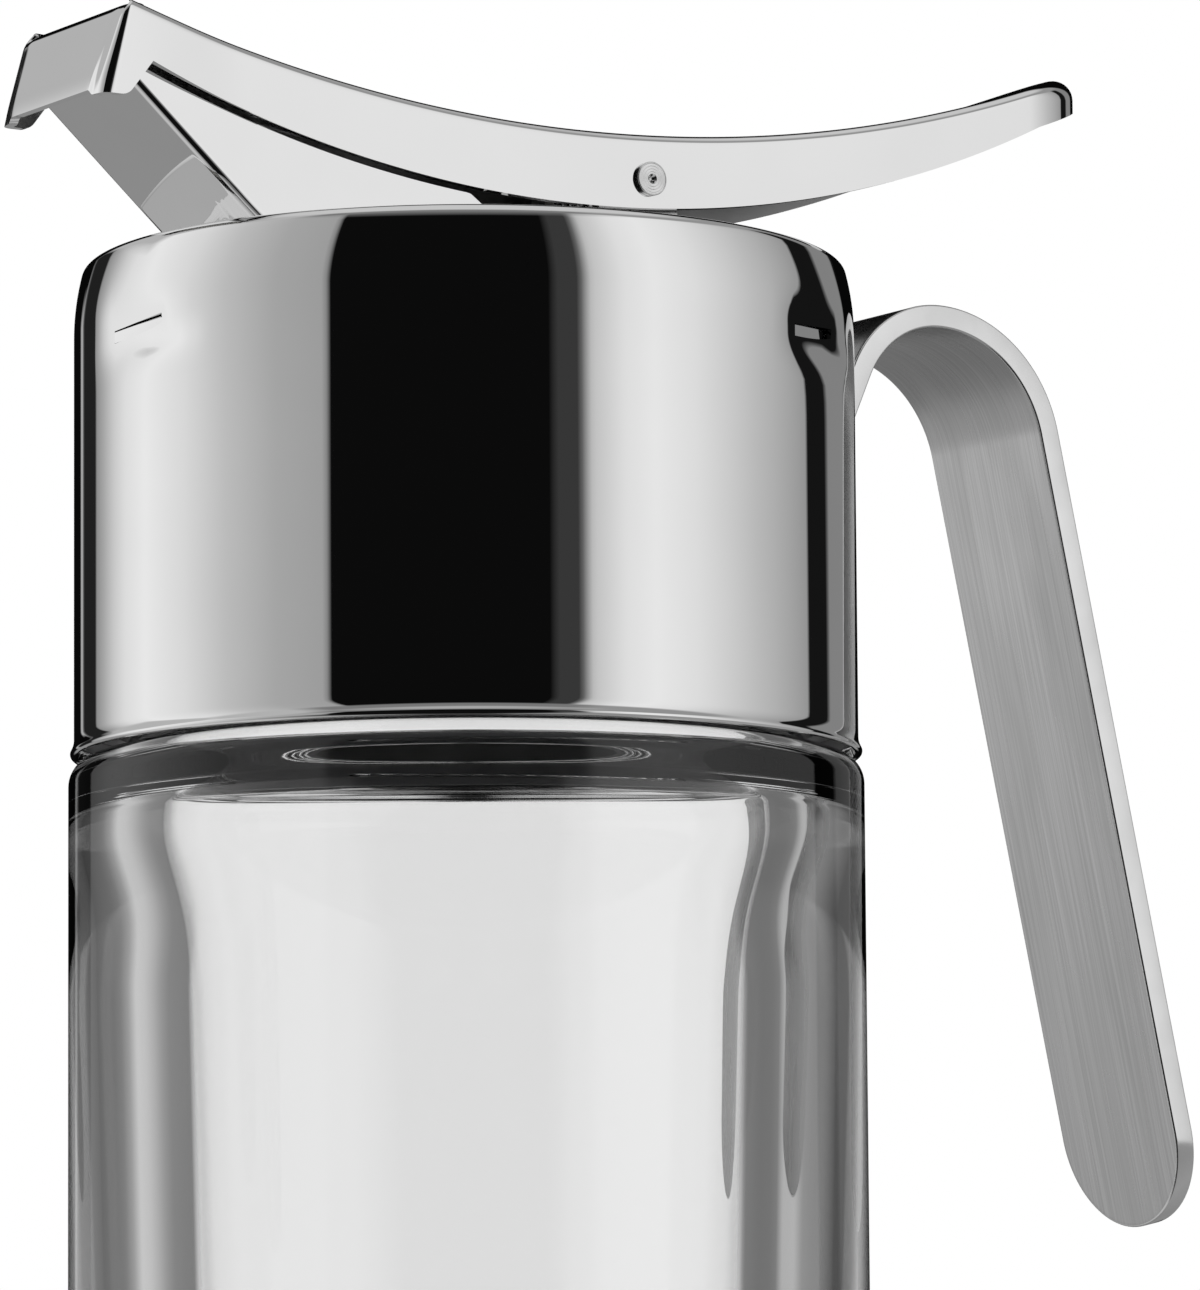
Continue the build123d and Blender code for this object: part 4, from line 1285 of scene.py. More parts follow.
@dataclass
class SpoutChute:
    """Open spout: a floor that rises to the mouth, with side walls that follow the lever's edge."""

    form: LeverForm
    half_width: float = 7.8
    sheet: float = 0.7
    mouth: float = -38.6
    floor_bend: float = -24.7
    slope: float = math.tan(math.radians(41.7))
    deck_z: float = 128.0
    back: float = 0.6
    back_height: float = 2.2
    fall: float = -4.2
    lid_gap: float = 0.35
    least_wall: float = 0.4
    bend: float = 0.9
    corner: float = 1.1
    corner_shrink: float = 0.7  # loss of the plan corner's radius for each mm of inset
    outlet: float = 6.7
    outlet_x: float = -13.0
    soft: float = 0.9
    ramp_end: float = -20.0
    back_columns: int = 13
    mouth_columns: int = 21
    floor_rows: tuple[float, ...] = (0, 0.1, 0.25, 0.4, 0.55, 0.7, 0.85, 0.96)
    wall_rows: tuple[float, ...] = (0.04, 0.2, 0.4, 0.6, 0.8, 0.95, 1.0)

    def floor(self, x: Array, inset: float) -> Array:
        """Height of the floor: slope times half of s plus the root of s squared plus soft squared.

        Here s is how far x lies in front of the floor's bend, so the bend is a smooth hyperbola.

        Args:
            x: where, in mm.
            inset: how far this skin lies inside the outer one, in mm.

        Returns:
            Heights in mm.
        """
        s = self.floor_bend - x
        root = np.sqrt(s * s + self.soft**2)
        lean = self.slope * (1 + s / root) / 2
        return self.deck_z + self.slope * (s + root) / 2 + inset * np.sqrt(1 + lean**2)

    def wall_top(self, x: Array) -> Array:
        """Height of the walls: a little below the lever's edge, then a straight fall to the low back.

        Args:
            x: where, in mm.

        Returns:
            Heights in mm.
        """
        least = self.floor(np.minimum(x, self.fall), 0.0) + self.least_wall
        high = np.maximum(self.form.edge(x, self.lid_gap), least)
        fall_z = float(self.form.edge(np.array(self.fall), self.lid_gap))
        back_z = self.deck_z + self.back_height
        down = fall_z + (x - self.fall) / (self.back - self.fall) * (back_z - fall_z)
        return np.where(x > self.fall, down, high)

    def grid(self, inset: float) -> tuple[Array, Array]:
        """One skin of the spout and which columns have a wall.

        Columns run along the near side to the back, across it, along the far side to the mouth and
        across the mouth. Rows run from the outlet's edge over the floor, round the bend and up the wall.

        Args:
            inset: how far this skin lies inside the outer one, in mm.

        Returns:
            Grid of points, rows by columns by 3, and for each column whether it has a wall.
        """
        half = self.half_width - inset
        back = self.back - inset
        corner = self.corner - inset * self.corner_shrink
        ramp = np.linspace(self.mouth, self.ramp_end, 46)
        stations = np.concatenate([ramp, np.linspace(self.ramp_end, back - corner, 44)[1:]])
        count = len(stations)
        angle = np.radians(np.linspace(0, 90, 9)[1:-1])
        turn_out = np.column_stack([np.sin(angle), -np.cos(angle)])
        near = np.column_stack([stations, np.full(count, -half)])
        turn = np.array([back - corner, corner - half]) + corner * turn_out
        back_y = np.linspace(-1, 1, self.back_columns) * (half - corner)
        across = np.column_stack([np.full(self.back_columns, back), back_y])
        mouth_y = np.linspace(1, -1, self.mouth_columns + 2)[1:-1] * (half - self.bend)
        mouth = np.column_stack([np.full(self.mouth_columns, self.mouth), mouth_y])
        plan = np.concatenate([near, turn, across, mirrored(turn), mirrored(near), mouth])
        out = np.concatenate(
            [
                np.tile([0.0, -1.0], (count, 1)),
                turn_out,
                np.tile([1.0, 0.0], (self.back_columns, 1)),
                mirrored(turn_out),
                np.tile([0.0, 1.0], (count, 1)),
                np.tile([-1.0, 0.0], (self.mouth_columns, 1)),
            ]
        )
        walled = np.arange(len(plan)) < len(plan) - self.mouth_columns
        base = np.column_stack([plan, self.floor(plan[:, 0], inset)])
        top = np.column_stack([plan, self.wall_top(plan[:, 0])])
        inward = np.column_stack([-out, np.zeros(len(out))])
        radius = np.full(len(plan), max(self.bend - inset, LEAST_BEND))
        bend = rounded_corner(base, inward, np.tile([0.0, 0.0, 1.0], (len(plan), 1)), radius, 9)
        bend[:, ~walled] = base[~walled]
        start, end = bend[0], bend[-1]
        heading = np.arctan2(start[:, 1], start[:, 0] - self.outlet_x)
        hole = np.column_stack([self.outlet_x + self.outlet * np.cos(heading), self.outlet * np.sin(heading)])
        rows = fan(hole, start[:, :2], self.floor_rows)
        floor = np.concatenate([rows, self.floor(rows[..., :1], inset)], -1)
        return np.concatenate([floor, bend, fan(end, top, self.wall_rows)]), walled

    def build(self, wardrobe: Wardrobe) -> bpy.types.Object:
        """Builds the spout and puts it in place of the CAD spout.

        Args:
            wardrobe: where the finishes come from.

        Returns:
            The new piece.
        """
        outer, walled = self.grid(0.0)
        inner, _ = self.grid(self.sheet)
        keep = np.ones((outer.shape[0] - 1, outer.shape[1]), dtype=bool)
        keep[len(self.floor_rows) :] = walled & np.roll(walled, -1)
        skin = Skin()
        skin.sheet(outer, inner, wrap=True, keep=keep, inside=1)
        piece = skin.build("spout_bent_sheet")
        # The inner faces get the darker stainless, painted shade for the space under the lever.
        wardrobe.dress(piece, Palette.MIRROR, Palette.SHADED_INSIDE)
        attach(piece, "cap")
        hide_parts("spout_chute")
        return piece


@dataclass
class HandleStrip:
    """Strip handle: a root that leaves the collar, an arch of two radii and a leaning leg."""

    half_width: float = 8.75
    thickness: float = 2.1
    apex: tuple[float, float] = (46.4, 127.85)
    front_radius: float = 10.7
    back_radius: float = 13.8
    root_turn: float = 66.0
    lean: float = 12.6
    end_z: float = 43.8
    edge: float = 0.2
    collar: float = 35.0
    sink: float = 0.3
    spine_start: float = 1.0
    root_columns: int = 15
    face_rows: tuple[float, ...] = (0.0, 0.3, 0.6, 0.85, 0.97)

    def lengths(self) -> tuple[float, float, float]:
        """Lengths along the outer face, counted from the arch's foot.

        Returns:
            Length of the front arc, of both arcs, and of the whole to the free end.
        """
        front = math.radians(self.root_turn) * self.front_radius
        back_turn = math.radians(90 - self.lean)
        back = back_turn * self.back_radius
        end_of_arc = self.apex[1] - self.back_radius + self.back_radius * math.cos(back_turn)
        leg = (end_of_arc - self.end_z) / math.cos(math.radians(self.lean))
        return front, front + back, front + back + leg

    def bent(self, along: Array, across: Array, depth: Array) -> Array:
        """Bends the flat strip into its real form.

        A point at length s, width y and depth n goes to P(s) - n N(s) + y Y. P is the outer face's
        middle line: a straight root, an arc, an arc and a straight leg. N is its outward normal.

        Args:
            along: lengths s in mm.
            across: widths y in mm.
            depth: depths n under the outer face, in mm.

        Returns:
            Points, one more axis than the lengths.
        """
        front, arcs, _ = self.lengths()
        turn_front = -math.radians(self.root_turn) + np.clip(along, 0, front) / self.front_radius
        turn_back = np.clip(along - front, 0, arcs - front) / self.back_radius
        first = along < front
        turn = np.where(first, turn_front, turn_back)
        radius = np.where(first, self.front_radius, self.back_radius)
        x = self.apex[0] + radius * np.sin(turn)
        z = self.apex[1] - radius + radius * np.cos(turn)
        beyond = np.minimum(along, 0) + np.maximum(along - arcs, 0)
        x = x + beyond * np.cos(turn)
        z = z - beyond * np.sin(turn)
        return np.stack([x - depth * np.sin(turn), across, z - depth * np.cos(turn)], -1)

    def outline(self) -> tuple[Array, Array]:
        """Outline of the flat strip.

        The root's end follows the collar's wall: its length is where the sloping root meets the
        cylinder at that width. The other end is a half circle as wide as the strip.

        Returns:
            Points as (length, width), and the inward direction at each.
        """
        _, arcs, whole = self.lengths()
        foot = self.apex[0] - self.front_radius * math.sin(math.radians(self.root_turn))
        run = math.cos(math.radians(self.root_turn))
        root_y = np.linspace(-1, 1, self.root_columns) * self.half_width
        root_s = (np.sqrt(self.collar**2 - root_y**2) - self.sink - foot) / run
        straight = np.concatenate(
            [
                np.linspace(root_s[-1], 0, 12)[1:],
                np.linspace(0, arcs, 90)[1:],
                np.linspace(arcs, whole - self.half_width, 60)[1:],
            ]
        )
        side = np.column_stack([straight, np.full(len(straight), self.half_width)])
        angle = np.radians(np.linspace(90, -90, 49))[1:-1]
        centre = whole - self.half_width
        cap = np.column_stack([centre + self.half_width * np.cos(angle), self.half_width * np.sin(angle)])
        points = np.concatenate([np.column_stack([root_s, root_y]), side, cap, mirrored(side)])
        inward = np.concatenate(
            [
                np.tile([1.0, 0.0], (self.root_columns, 1)),
                np.tile([0.0, -1.0], (len(side), 1)),
                -np.column_stack([np.cos(angle), np.sin(angle)]),
                np.tile([0.0, 1.0], (len(side), 1)),
            ]
        )
        return points, inward

    def build(self, wardrobe: Wardrobe) -> bpy.types.Object:
        """Builds the strip and puts it in place of the CAD strip.

        Its rows cross the outer face, go round the edge by two quarter circles and cross the inner face.

        Args:
            wardrobe: where the finishes come from.

        Returns:
            The new piece.
        """
        points, inward = self.outline()
        _, _, whole = self.lengths()
        spine_s = np.clip(points[:, 0], self.spine_start, whole - self.half_width)
        spine = np.stack([spine_s, np.zeros(len(points))], -1)
        turn = np.radians(np.linspace(0, 90, 6))
        inset = self.edge * (1 - np.sin(turn))
        depth = self.edge * (1 - np.cos(turn))
        face = fan(spine, points + inward * self.edge, self.face_rows)
        edge = points + inward * inset[:, None, None]
        flat = np.concatenate([face, edge, edge[::-1], face[::-1]])
        outer = np.concatenate([np.zeros(len(face)), depth])
        depths = np.concatenate([outer, self.thickness - outer[::-1]])
        grid = self.bent(flat[..., 0], flat[..., 1], depths[:, None])
        cell = np.arange(len(flat) - 1)
        on_edge = (cell >= len(face)) & (cell < len(flat) - len(face) - 1)
        skin = Skin()
        skin.surface(grid, finish=on_edge.astype(int))
        piece = skin.build("handle_brushed_strip", sharp=60)
        wardrobe.dress(piece, Palette.BRUSHED, Palette.EDGE)
        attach(piece, "cap")
        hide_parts("handle_strip")
        return piece


@dataclass(frozen=True)
class PinAxis:
    """The line across the cap, parallel to Y, that the lever turns about."""

    x: float = 14.2
    z: float = 136.45


@dataclass
class PivotPin:
    """Turned rivet pin with a head at each side, a dimple in its middle and lathe rings round it."""

    axis: PinAxis
    shaft: float = 1.0
    head: float = 1.55
    under_head: float = 8.93
    head_thickness: float = 0.47
    face_edge: float = 0.14
    edge: float = 0.12
    dimple: float = 0.42
    dimple_depth: float = 0.34
    ring: float = 0.03
    ring_gap: float = 0.26
    columns: int = 72

    def build(self, wardrobe: Wardrobe) -> bpy.types.Object:
        """Builds the pin as one turned form about the Y axis, mirrored about its middle.

        The dimple is a parabola, and the rings are half of one minus the cosine of the way over the gap.

        Args:
            wardrobe: where the finish comes from.

        Returns:
            The new piece.
        """
        face = self.under_head + self.head_thickness
        corner_z = face - self.edge
        radius = np.linspace(0, self.head - self.face_edge, 30)
        well = self.dimple_depth * np.clip(1 - (radius / self.dimple) ** 2, 0, 1)
        rings = self.ring * (0.5 - 0.5 * np.cos((radius - self.dimple) / self.ring_gap * 2 * math.pi))
        height = face - well - np.where(radius > self.dimple, rings, 0)
        head = join(
            np.column_stack([radius, height]),
            arc((self.head - self.edge, corner_z), self.edge, 90, 0, 6),
            line((self.head, corner_z), (self.head, self.under_head), 3),
            line((self.head, self.under_head), (self.shaft, self.under_head), 4),
            line((self.shaft, self.under_head), (self.shaft, 0.0), 6),
        )
        grid = revolve(np.concatenate([head, mirrored(head[:-1])]), full_turn(self.columns))
        skin = Skin()
        skin.surface(grid[..., [0, 2, 1]] + np.array([self.axis.x, 0.0, self.axis.z]))
        piece = skin.build("pin_turned_rivet", sharp=50)
        wardrobe.dress(piece, Palette.PIN)
        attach(piece, "cap")
        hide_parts("pivot_pin")
        return piece


@dataclass
class LidSpring:
    """Torsion spring round the pin: one wire, with a leg on the bracket and a leg under the lever."""

    axis: PinAxis
    wire: float = 0.6
    radius: float = 2.2
    pitch: float = 1.1
    first_angle: float = 162.5
    last_angle: float = 99.0
    whole_turns: int = 6
    fixed_leg: float = 8.0
    moving_leg: float = 9.0
    leg_start: float = 0.4
    leg_columns: int = 9
    end_round: float = 0.1
    turn_steps: int = 40
    columns: int = 12

    def total_turn(self) -> float:
        """Degrees that the wire goes round the pin."""
        return self.first_angle - self.last_angle + 360 * self.whole_turns

    def path(self) -> tuple[Array, Array, Array]:
        """Middle line of the wire, from the end of the fixed leg round the coil to the moving leg's end.

        The coil is radius times cosine and sine of an angle that falls from the first to the last one,
        while y climbs by the pitch each turn. Both legs leave along the coil's own direction.

        Returns:
            Points, directions of travel and directions away from the pin.
        """
        total = self.total_turn()
        turned = np.linspace(0, total, round(total / 360 * self.turn_steps))
        angle = np.radians(self.first_angle - turned)
        flat = np.zeros_like(angle)
        out = np.stack([np.cos(angle), flat, np.sin(angle)], -1)
        climb = self.pitch / (2 * math.pi * self.radius)
        way = unit(np.stack([np.sin(angle), flat + climb, -np.cos(angle)], -1))
        height = self.pitch * (turned - total / 2) / 360
        middle = np.array([self.axis.x, 0, self.axis.z])
        coil = middle + self.radius * out + np.stack([flat, height, flat], -1)
        inner = np.linspace(self.end_round - self.fixed_leg, -self.leg_start, self.leg_columns - 1)
        before = np.concatenate([[-self.fixed_leg], inner])[:, None]
        after = -before[::-1] * self.moving_leg / self.fixed_leg
        centre = np.concatenate([coil[0] + before * way[0], coil, coil[-1] + after * way[-1]])
        repeats = np.ones(len(coil), dtype=int)
        repeats[[0, -1]] += self.leg_columns
        return centre, np.repeat(way, repeats, axis=0), np.repeat(out, repeats, axis=0)

    def build(self, wardrobe: Wardrobe) -> bpy.types.Object:
        """Builds the wire.

        The wire's skin is a circle across its direction, (out times cosine plus side times sine) of the
        circle's angle, and its ends are cut square with a small round.

        Args:
            wardrobe: where the finish comes from.

        Returns:
            The new piece.
        """
        centre, way, out = self.path()
        side = np.cross(way, out)
        half = np.full(len(centre), self.wire / 2)
        half[[0, -1]] -= self.end_round
        capped = np.concatenate([[0], np.arange(len(centre)), [len(centre) - 1]])
        half = np.concatenate([[0], half, [0]])[:, None, None]
        turn = full_turn(self.columns)[None, :, None]
        ring = out[capped, None] * np.cos(turn) + side[capped, None] * np.sin(turn)
        skin = Skin()
        skin.surface(centre[capped, None] + half * ring)
        piece = skin.build("spring_wound_wire")
        wardrobe.dress(piece, Palette.WIRE)
        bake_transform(piece)
        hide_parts("lid_spring")
        return piece


@dataclass
class ClosureParts:
    """Pieces whose CAD shape is right as it is. They get a finish."""

    finishes: dict[str, Palette] = field(
        default_factory=lambda: {
            "jar_seal_ring": Palette.SEAL,
            "closure_liner": Palette.LINER,
            "pour_funnel": Palette.LINER,
            "outlet_gasket": Palette.SILICONE,
            "pivot_bracket": Palette.SATIN,
            "bracket_rivet_front": Palette.SATIN,
            "bracket_rivet_back": Palette.SATIN,
            "ear_washer_near": Palette.ACETAL,
            "ear_washer_far": Palette.ACETAL,
            "spring_sleeve": Palette.ACETAL,
            "mouth_pad": Palette.SILICONE,
            "handle_backing_plate": Palette.SATIN,
            "handle_screw_near": Palette.SATIN,
            "handle_screw_far": Palette.SATIN,
        }
    )

    def build(self, wardrobe: Wardrobe) -> list[bpy.types.Object]:
        """Dresses each CAD piece.

        Args:
            wardrobe: where the finishes come from.

        Returns:
            The dressed objects.
        """
        pieces = []
        for name, finish in self.finishes.items():
            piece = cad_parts[name]
            wardrobe.dress(piece, finish)
            pieces.append(piece)
        return pieces


@dataclass
class Studio:
    """Plain product studio: white ground, tall light panels at both sides and black flags.

    Directions are fixed in the world. They are counted in degrees round the vertical axis from the
    photograph's viewing side, to the right. Heights are the sine of the angle above the horizon. The belt
    is the room at eye level up to its top, with the upper zone and the overhead panel above it and the
    table below. Glass shows what is behind, and in its walls what is in_glass.
    """

    viewing_side: float = 33.0
    belt: Stops = (
        (-180, "#0a0a0a"), (-154.2, "#0a0a0a"), (-153.8, "#b0b0b0"), (-151, "#b0b0b0"), (-150.3, "#222222"),
        (-137.5, "#222222"), (-136.7, "#949494"), (-131, "#b0b0b0"), (-123.3, "#d7d7d7"), (-117, "#ebebeb"),
        (-106.3, "#f8f8f8"), (-88.2, "#e6e6e6"), (-72.7, "#c9c9c9"), (-55.5, "#b1b1b1"), (-39.6, "#a8a8a8"),
        (-38.8, "#0d0d0d"), (25.5, "#0d0d0d"), (27.8, "#3b3b3b"), (34.5, "#3b3b3b"), (38.3, "#cecece"),
        (48.5, "#eeeeee"), (58, "#f7f7f7"), (71.8, "#ececec"), (95.1, "#c7c7c7"), (120, "#9e9e9e"),
        (120.6, "#161616"), (133.3, "#161616"), (134, "#888888"), (149, "#888888"), (149.8, "#060606"),
    )
    belt_top: Stops = (
        (-180, 0.16), (-152, 0.16), (-149, 0.36), (-112, 0.36), (-95, 0.6), (149, 0.6), (152, 0.16),
        (180, 0.16),
    )
    upper: Stops = (
        (-180, "#080808"), (-151, "#080808"), (-148, "#bdbdbd"), (-62, "#bdbdbd"), (-50, "#808080"),
        (40, "#808080"), (50, "#9a9a9a"), (149, "#9a9a9a"), (151, "#080808"), (180, "#080808"),
    )
    overhead: str = "#d2d2d2"
    behind: Stops = (
        (-180, "#ffffff"), (-142, "#ffffff"), (-135, "#ececec"), (-48, "#ececec"), (-36, "#c0c0c0"),
        (30, "#c0c0c0"), (42, "#ececec"), (135, "#ececec"), (142, "#ffffff"), (180, "#ffffff"),
    )
    in_glass: Stops = (
        (-180, "#525252"), (-164, "#565656"), (-158, "#6a6a6a"), (-152, "#969696"), (-146, "#cecece"),
        (-140, "#c6c6c6"), (-135, "#b2b2b2"), (-130, "#969696"), (-125, "#808080"), (-114, "#707070"),
        (-110, "#e0e0e0"), (-88, "#dedede"), (-72, "#c9c9c9"), (-55, "#b1b1b1"), (-39.6, "#a8a8a8"),
        (-38.8, "#141414"), (25.5, "#141414"), (28, "#3b3b3b"), (34.5, "#3b3b3b"), (38.3, "#cecece"),
        (52, "#f0f0f0"), (95, "#d2d2d2"), (112, "#dadada"), (116, "#727272"), (125, "#6a6a6a"),
        (131, "#6e6e6e"), (135, "#7a7a7a"), (139, "#b6b6b6"), (147, "#bcbcbc"), (153, "#969696"),
        (163, "#888888"), (180, "#5a5a5a"),
    )
    below: Stops = (
        (-180, "#8e8e8e"), (-128, "#969696"), (-118, "#c4c4c4"), (-95, "#cecece"), (-52, "#8a8a8a"),
        (-40, "#101010"), (26, "#101010"), (38, "#909090"), (110, "#a2a2a2"), (180, "#8e8e8e"),
    )
    belt_blur: float = 0.07
    ceiling: tuple[float, float] = (0.78, 0.88)
    table: tuple[float, float] = (-0.13, -0.17)
    floor_radius: float = 0.45
    floor_fade: float = 0.35
    floor_inner: float = 0.05
    floor_rings: int = 24
    floor_columns: int = 96
    floor_colour: str = "#bdbdbd"
    plain: str = "#f2f2f2"
    white: str = "#ffffff"
    lamp_aim: tuple[float, float, float] = (0.0, 0.0, 0.08)

    def around(
        self, tree: bpy.types.NodeTree, position: bpy.types.NodeSocket, stops: Stops
    ) -> bpy.types.NodeSocket:
        """Value that depends on the turn round the vertical axis.

        Args:
            tree: the world's tree.
            position: the turn, from 0 to 1.
            stops: degrees, with a hex code or a plain number for each.

        Returns:
            The ramp's colour output.
        """
        node = add_node(tree, "ShaderNodeValToRGB", links={"Fac": position})
        elements = node.color_ramp.elements
        while len(elements) > 1:
            elements.remove(elements[-1])
        for number, (angle, value) in enumerate(stops):
            element = elements[0] if number == 0 else elements.new((angle + 180) / 360)
            element.position = (angle + 180) / 360
            element.color = linear(value) if isinstance(value, str) else (value, value, value, 1.0)
        return node.outputs[0]

    def layered(
        self,
        tree: bpy.types.NodeTree,
        base: bpy.types.NodeSocket,
        layers: tuple[tuple[bpy.types.NodeSocket, bpy.types.NodeSocket | str], ...],
    ) -> bpy.types.NodeSocket:
        """Lays colours over a base, one after the other.

        Args:
            tree: the world's tree.
            base: the undermost colour.
            layers: for each layer, how much of it shows, and its colour as an output or a hex code.

        Returns:
            The output of the colour that shows.
        """
        for share, colour in layers:
            fixed = {7: linear(colour)} if isinstance(colour, str) else {}
            linked = {} if fixed else {7: colour}
            links = {"Factor": share, 6: base, **linked}  # 6 and 7 are the node's two colours
            base = add_node(tree, "ShaderNodeMix", {"data_type": "RGBA", **fixed}, links).outputs[2]
        return base

    def world(self) -> None:
        """Makes the light of the room as a function of direction alone.

        The belt's colour depends on the direction's turn round the vertical axis. Above the belt's top,
        which depends on the turn as well, comes a plainer upper zone and then a light ceiling, and below
        the horizon a table's own light and dark. Glass sees a white ground behind the object, and in its
        walls a softer room. Matt surfaces are lit by one even tone, and rays from the camera see white.
        """
        world = bpy.data.worlds.new("Studio room")
        bpy.context.scene.world = world
        tree = emptied(world)
        way = add_node(tree, "ShaderNodeTexCoord").outputs["Generated"]
        sine, cosine = math.sin(math.radians(self.viewing_side)), math.cos(math.radians(self.viewing_side))
        front, right, height = (
            add_node(
                tree, "ShaderNodeVectorMath", {"operation": "DOT_PRODUCT", 1: axis}, {0: way}
            ).outputs["Value"]
            for axis in ((-sine, -cosine, 0.0), (cosine, -sine, 0.0), (0.0, 0.0, 1.0))
        )
        turn = add_node(tree, "ShaderNodeMath", {"operation": "ARCTAN2"}, {0: right, 1: front}).outputs[0]
        place = add_node(
            tree,
            "ShaderNodeMapRange",
            {"From Min": -math.pi, "From Max": math.pi, "To Min": 0.0, "To Max": 1.0},
            {"Value": turn},
        ).outputs[0]
        low = self.around(tree, place, self.belt_top)
        high = add_node(tree, "ShaderNodeMath", {"operation": "ADD", 1: self.belt_blur}, {0: low}).outputs[0]
        climb = add_node(
            tree, "ShaderNodeMapRange", links={"Value": height, "From Min": low, "From Max": high}
        ).outputs[0]
        zones = []
        for start, end in (self.ceiling, self.table):
            limits = {"From Min": start, "From Max": end}
            zones.append(add_node(tree, "ShaderNodeMapRange", limits, {"Value": height}).outputs[0])
        belt, upper, below = (self.around(tree, place, zone) for zone in (self.belt, self.upper, self.below))
        room = self.layered(tree, belt, ((climb, upper), (zones[0], self.overhead), (zones[1], below)))
        path = add_node(tree, "ShaderNodeLightPath").outputs
        bounced = add_node(
            tree, "ShaderNodeMath", {"operation": "GREATER_THAN", 1: 0.5}, {0: path["Glossy Depth"]}
        ).outputs[0]
        walls = self.around(tree, place, self.in_glass)
        through = self.layered(tree, self.around(tree, place, self.behind), ((bounced, walls),))
        rays = {"Is Diffuse Ray": self.plain, "Is Transmission Ray": through, "Is Camera Ray": self.white}
        seen = self.layered(tree, room, tuple((path[ray], colour) for ray, colour in rays.items()))
        light = add_node(tree, "ShaderNodeBackground", {"Strength": 1.0}, {"Color": seen})
        add_node(tree, "ShaderNodeOutputWorld", links={"Surface": light.outputs[0]})

    def floor(self) -> bpy.types.Object:
        """Makes the pale floor, a flat disc of rings whose rim fades into the white ground.

        Rays from metal and glass pass it and see the room below the horizon, so the glass walls show the
        room's bands down to the base.

        Returns:
            The floor.
        """
        rings = np.geomspace(self.floor_inner, self.floor_radius, self.floor_rings)
        radius = np.concatenate([[0.0], rings]) / MM
        flat = np.column_stack([radius, np.zeros(len(radius))])
        skin = Skin()
        skin.surface(revolve(flat, full_turn(self.floor_columns)))
        floor = skin.build("studio_floor")
        material = bpy.data.materials.new("Matt paper floor")
        tree = emptied(material)
        spot = add_node(tree, "ShaderNodeTexCoord").outputs["Object"]
        far = add_node(tree, "ShaderNodeVectorMath", {"operation": "LENGTH"}, {0: spot}).outputs["Value"]
        fade = add_node(
            tree,
            "ShaderNodeMapRange",
            {"From Min": self.floor_fade, "From Max": self.floor_radius, "To Min": 1.0, "To Max": 0.0},
            {"Value": far},
        )
        path = add_node(tree, "ShaderNodeLightPath")
        passed = add_node(
            tree,
            "ShaderNodeMath",
            {"operation": "MAXIMUM"},
            {0: path.outputs["Is Glossy Ray"], 1: path.outputs["Is Transmission Ray"]},
        ).outputs[0]
        shown = add_node(
            tree, "ShaderNodeMapRange", {"To Min": 1.0, "To Max": 0.0}, {"Value": passed}
        ).outputs[0]
        alpha = add_node(
            tree, "ShaderNodeMath", {"operation": "MULTIPLY"}, {0: fade.outputs[0], 1: shown}
        ).outputs[0]
        shader = add_node(
            tree,
            "ShaderNodeBsdfPrincipled",
            {"Base Color": linear(self.floor_colour), "Roughness": 0.8, "Specular IOR Level": 0.1},
            {"Alpha": alpha},
        )
        add_node(tree, "ShaderNodeOutputMaterial", links={"Surface": shader.outputs["BSDF"]})
        floor.data.materials.append(material)
        return floor

    def lamp(self, name: str, place: tuple[float, float, float], size: float, power: float) -> None:
        """Adds a soft square lamp that points at the dispenser's middle, from anywhere but straight above.

        Args:
            name: name of the lamp.
            place: where it stands, in metres.
            size: width in metres.
            power: power in watts.
        """
        data = bpy.data.lights.new(name, "AREA")
        data.shape = "SQUARE"
        data.size = size
        data.energy = power
        lamp = add_object(name, data)
        spot = np.array(place)
        aim = unit(np.array(self.lamp_aim) - spot)
        across = unit(np.cross(aim, [0.0, 0.0, 1.0]))
        stand(lamp, across, np.cross(across, aim), -aim, spot)
        lamp.visible_glossy = False
        lamp.visible_transmission = False


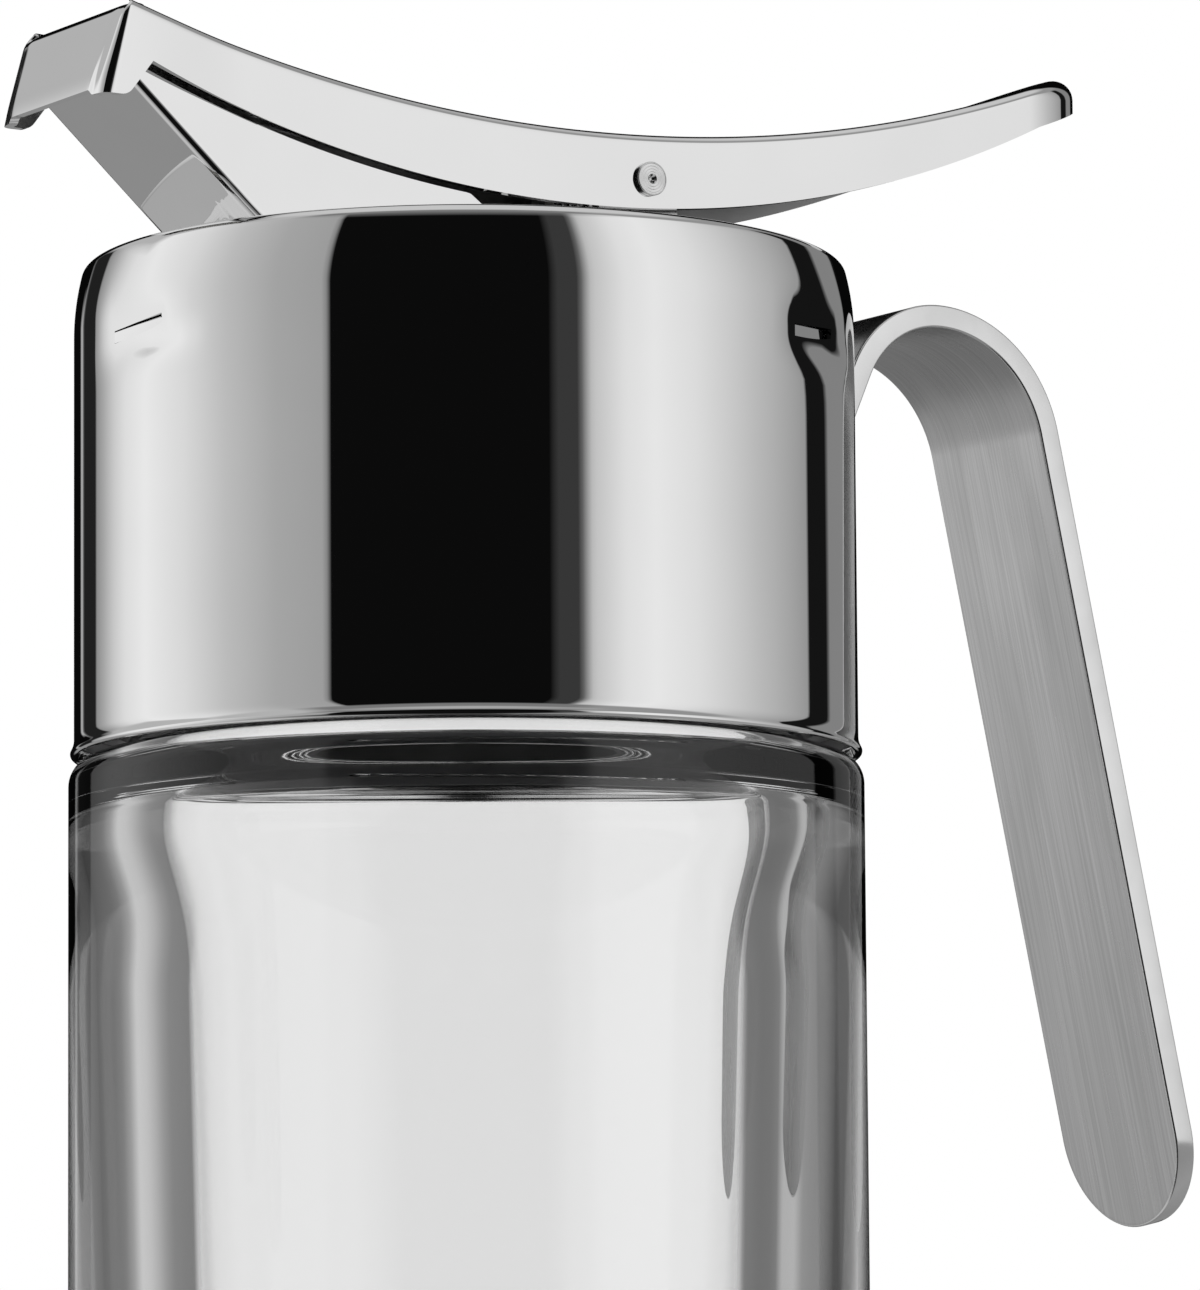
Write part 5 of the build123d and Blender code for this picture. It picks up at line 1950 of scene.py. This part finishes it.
@dataclass
class Viewpoint:
    """The photograph's camera: low in front of the spout's side, looking slightly up."""

    place: tuple[float, float, float] = (-328.8, -528.1, 17.5)
    turn: float = 33.0
    tilt: float = 5.49
    roll: float = -0.4
    focal_px: float = 7000.0
    frame_height_px: float = 1290.0
    rise_px: float = 188.0
    sensor: float = 36.0
    nearest: float = 0.01

    def build(self) -> bpy.types.Object:
        """Makes the camera and makes it the scene's camera.

        Returns:
            The camera.
        """
        data = bpy.data.cameras.new("Photograph view")
        data.sensor_width = self.sensor
        data.lens = self.focal_px / self.frame_height_px * self.sensor
        data.shift_y = self.rise_px / self.frame_height_px
        data.clip_start = self.nearest
        data.dof.use_dof = False
        camera = add_object("Photograph view", data)
        turn, tilt, roll = (math.radians(v) for v in (self.turn, self.tilt, self.roll))
        aim = np.array([math.sin(turn) * math.cos(tilt), math.cos(turn) * math.cos(tilt), math.sin(tilt)])
        across = np.array([math.cos(turn), -math.sin(turn), 0.0])
        over = np.cross(across, aim)
        rolled_across = across * math.cos(roll) + over * math.sin(roll)
        rolled_over = over * math.cos(roll) - across * math.sin(roll)
        stand(camera, rolled_across, rolled_over, -aim, np.array(self.place) * MM)
        bpy.context.scene.camera = camera
        return camera


def main() -> None:
    """Builds the studio, the camera and every piece, and reports them."""
    logging.basicConfig(level=logging.INFO, format="%(message)s")
    bpy.context.scene.view_settings.view_transform = "Standard"
    studio = Studio()
    studio.world()
    studio.floor()
    studio.lamp("Overhead soft light", (-0.3, -0.4, 1.3), size=1.2, power=6.0)
    Viewpoint().build()
    wardrobe = Wardrobe()
    form, axis = LeverForm(), PinAxis()
    parts = [
        GlassJar(),
        Collar(),
        LidLever(form),
        SpoutChute(form),
        HandleStrip(),
        PivotPin(axis),
        LidSpring(axis),
    ]
    for part in parts:
        piece = part.build(wardrobe)
        log.info("%s: %d points, %d faces", piece.name, len(piece.data.vertices), len(piece.data.polygons))
    for piece in ClosureParts().build(wardrobe):
        log.info("%s: dressed", piece.name)


if __name__ == "__main__":
    main()
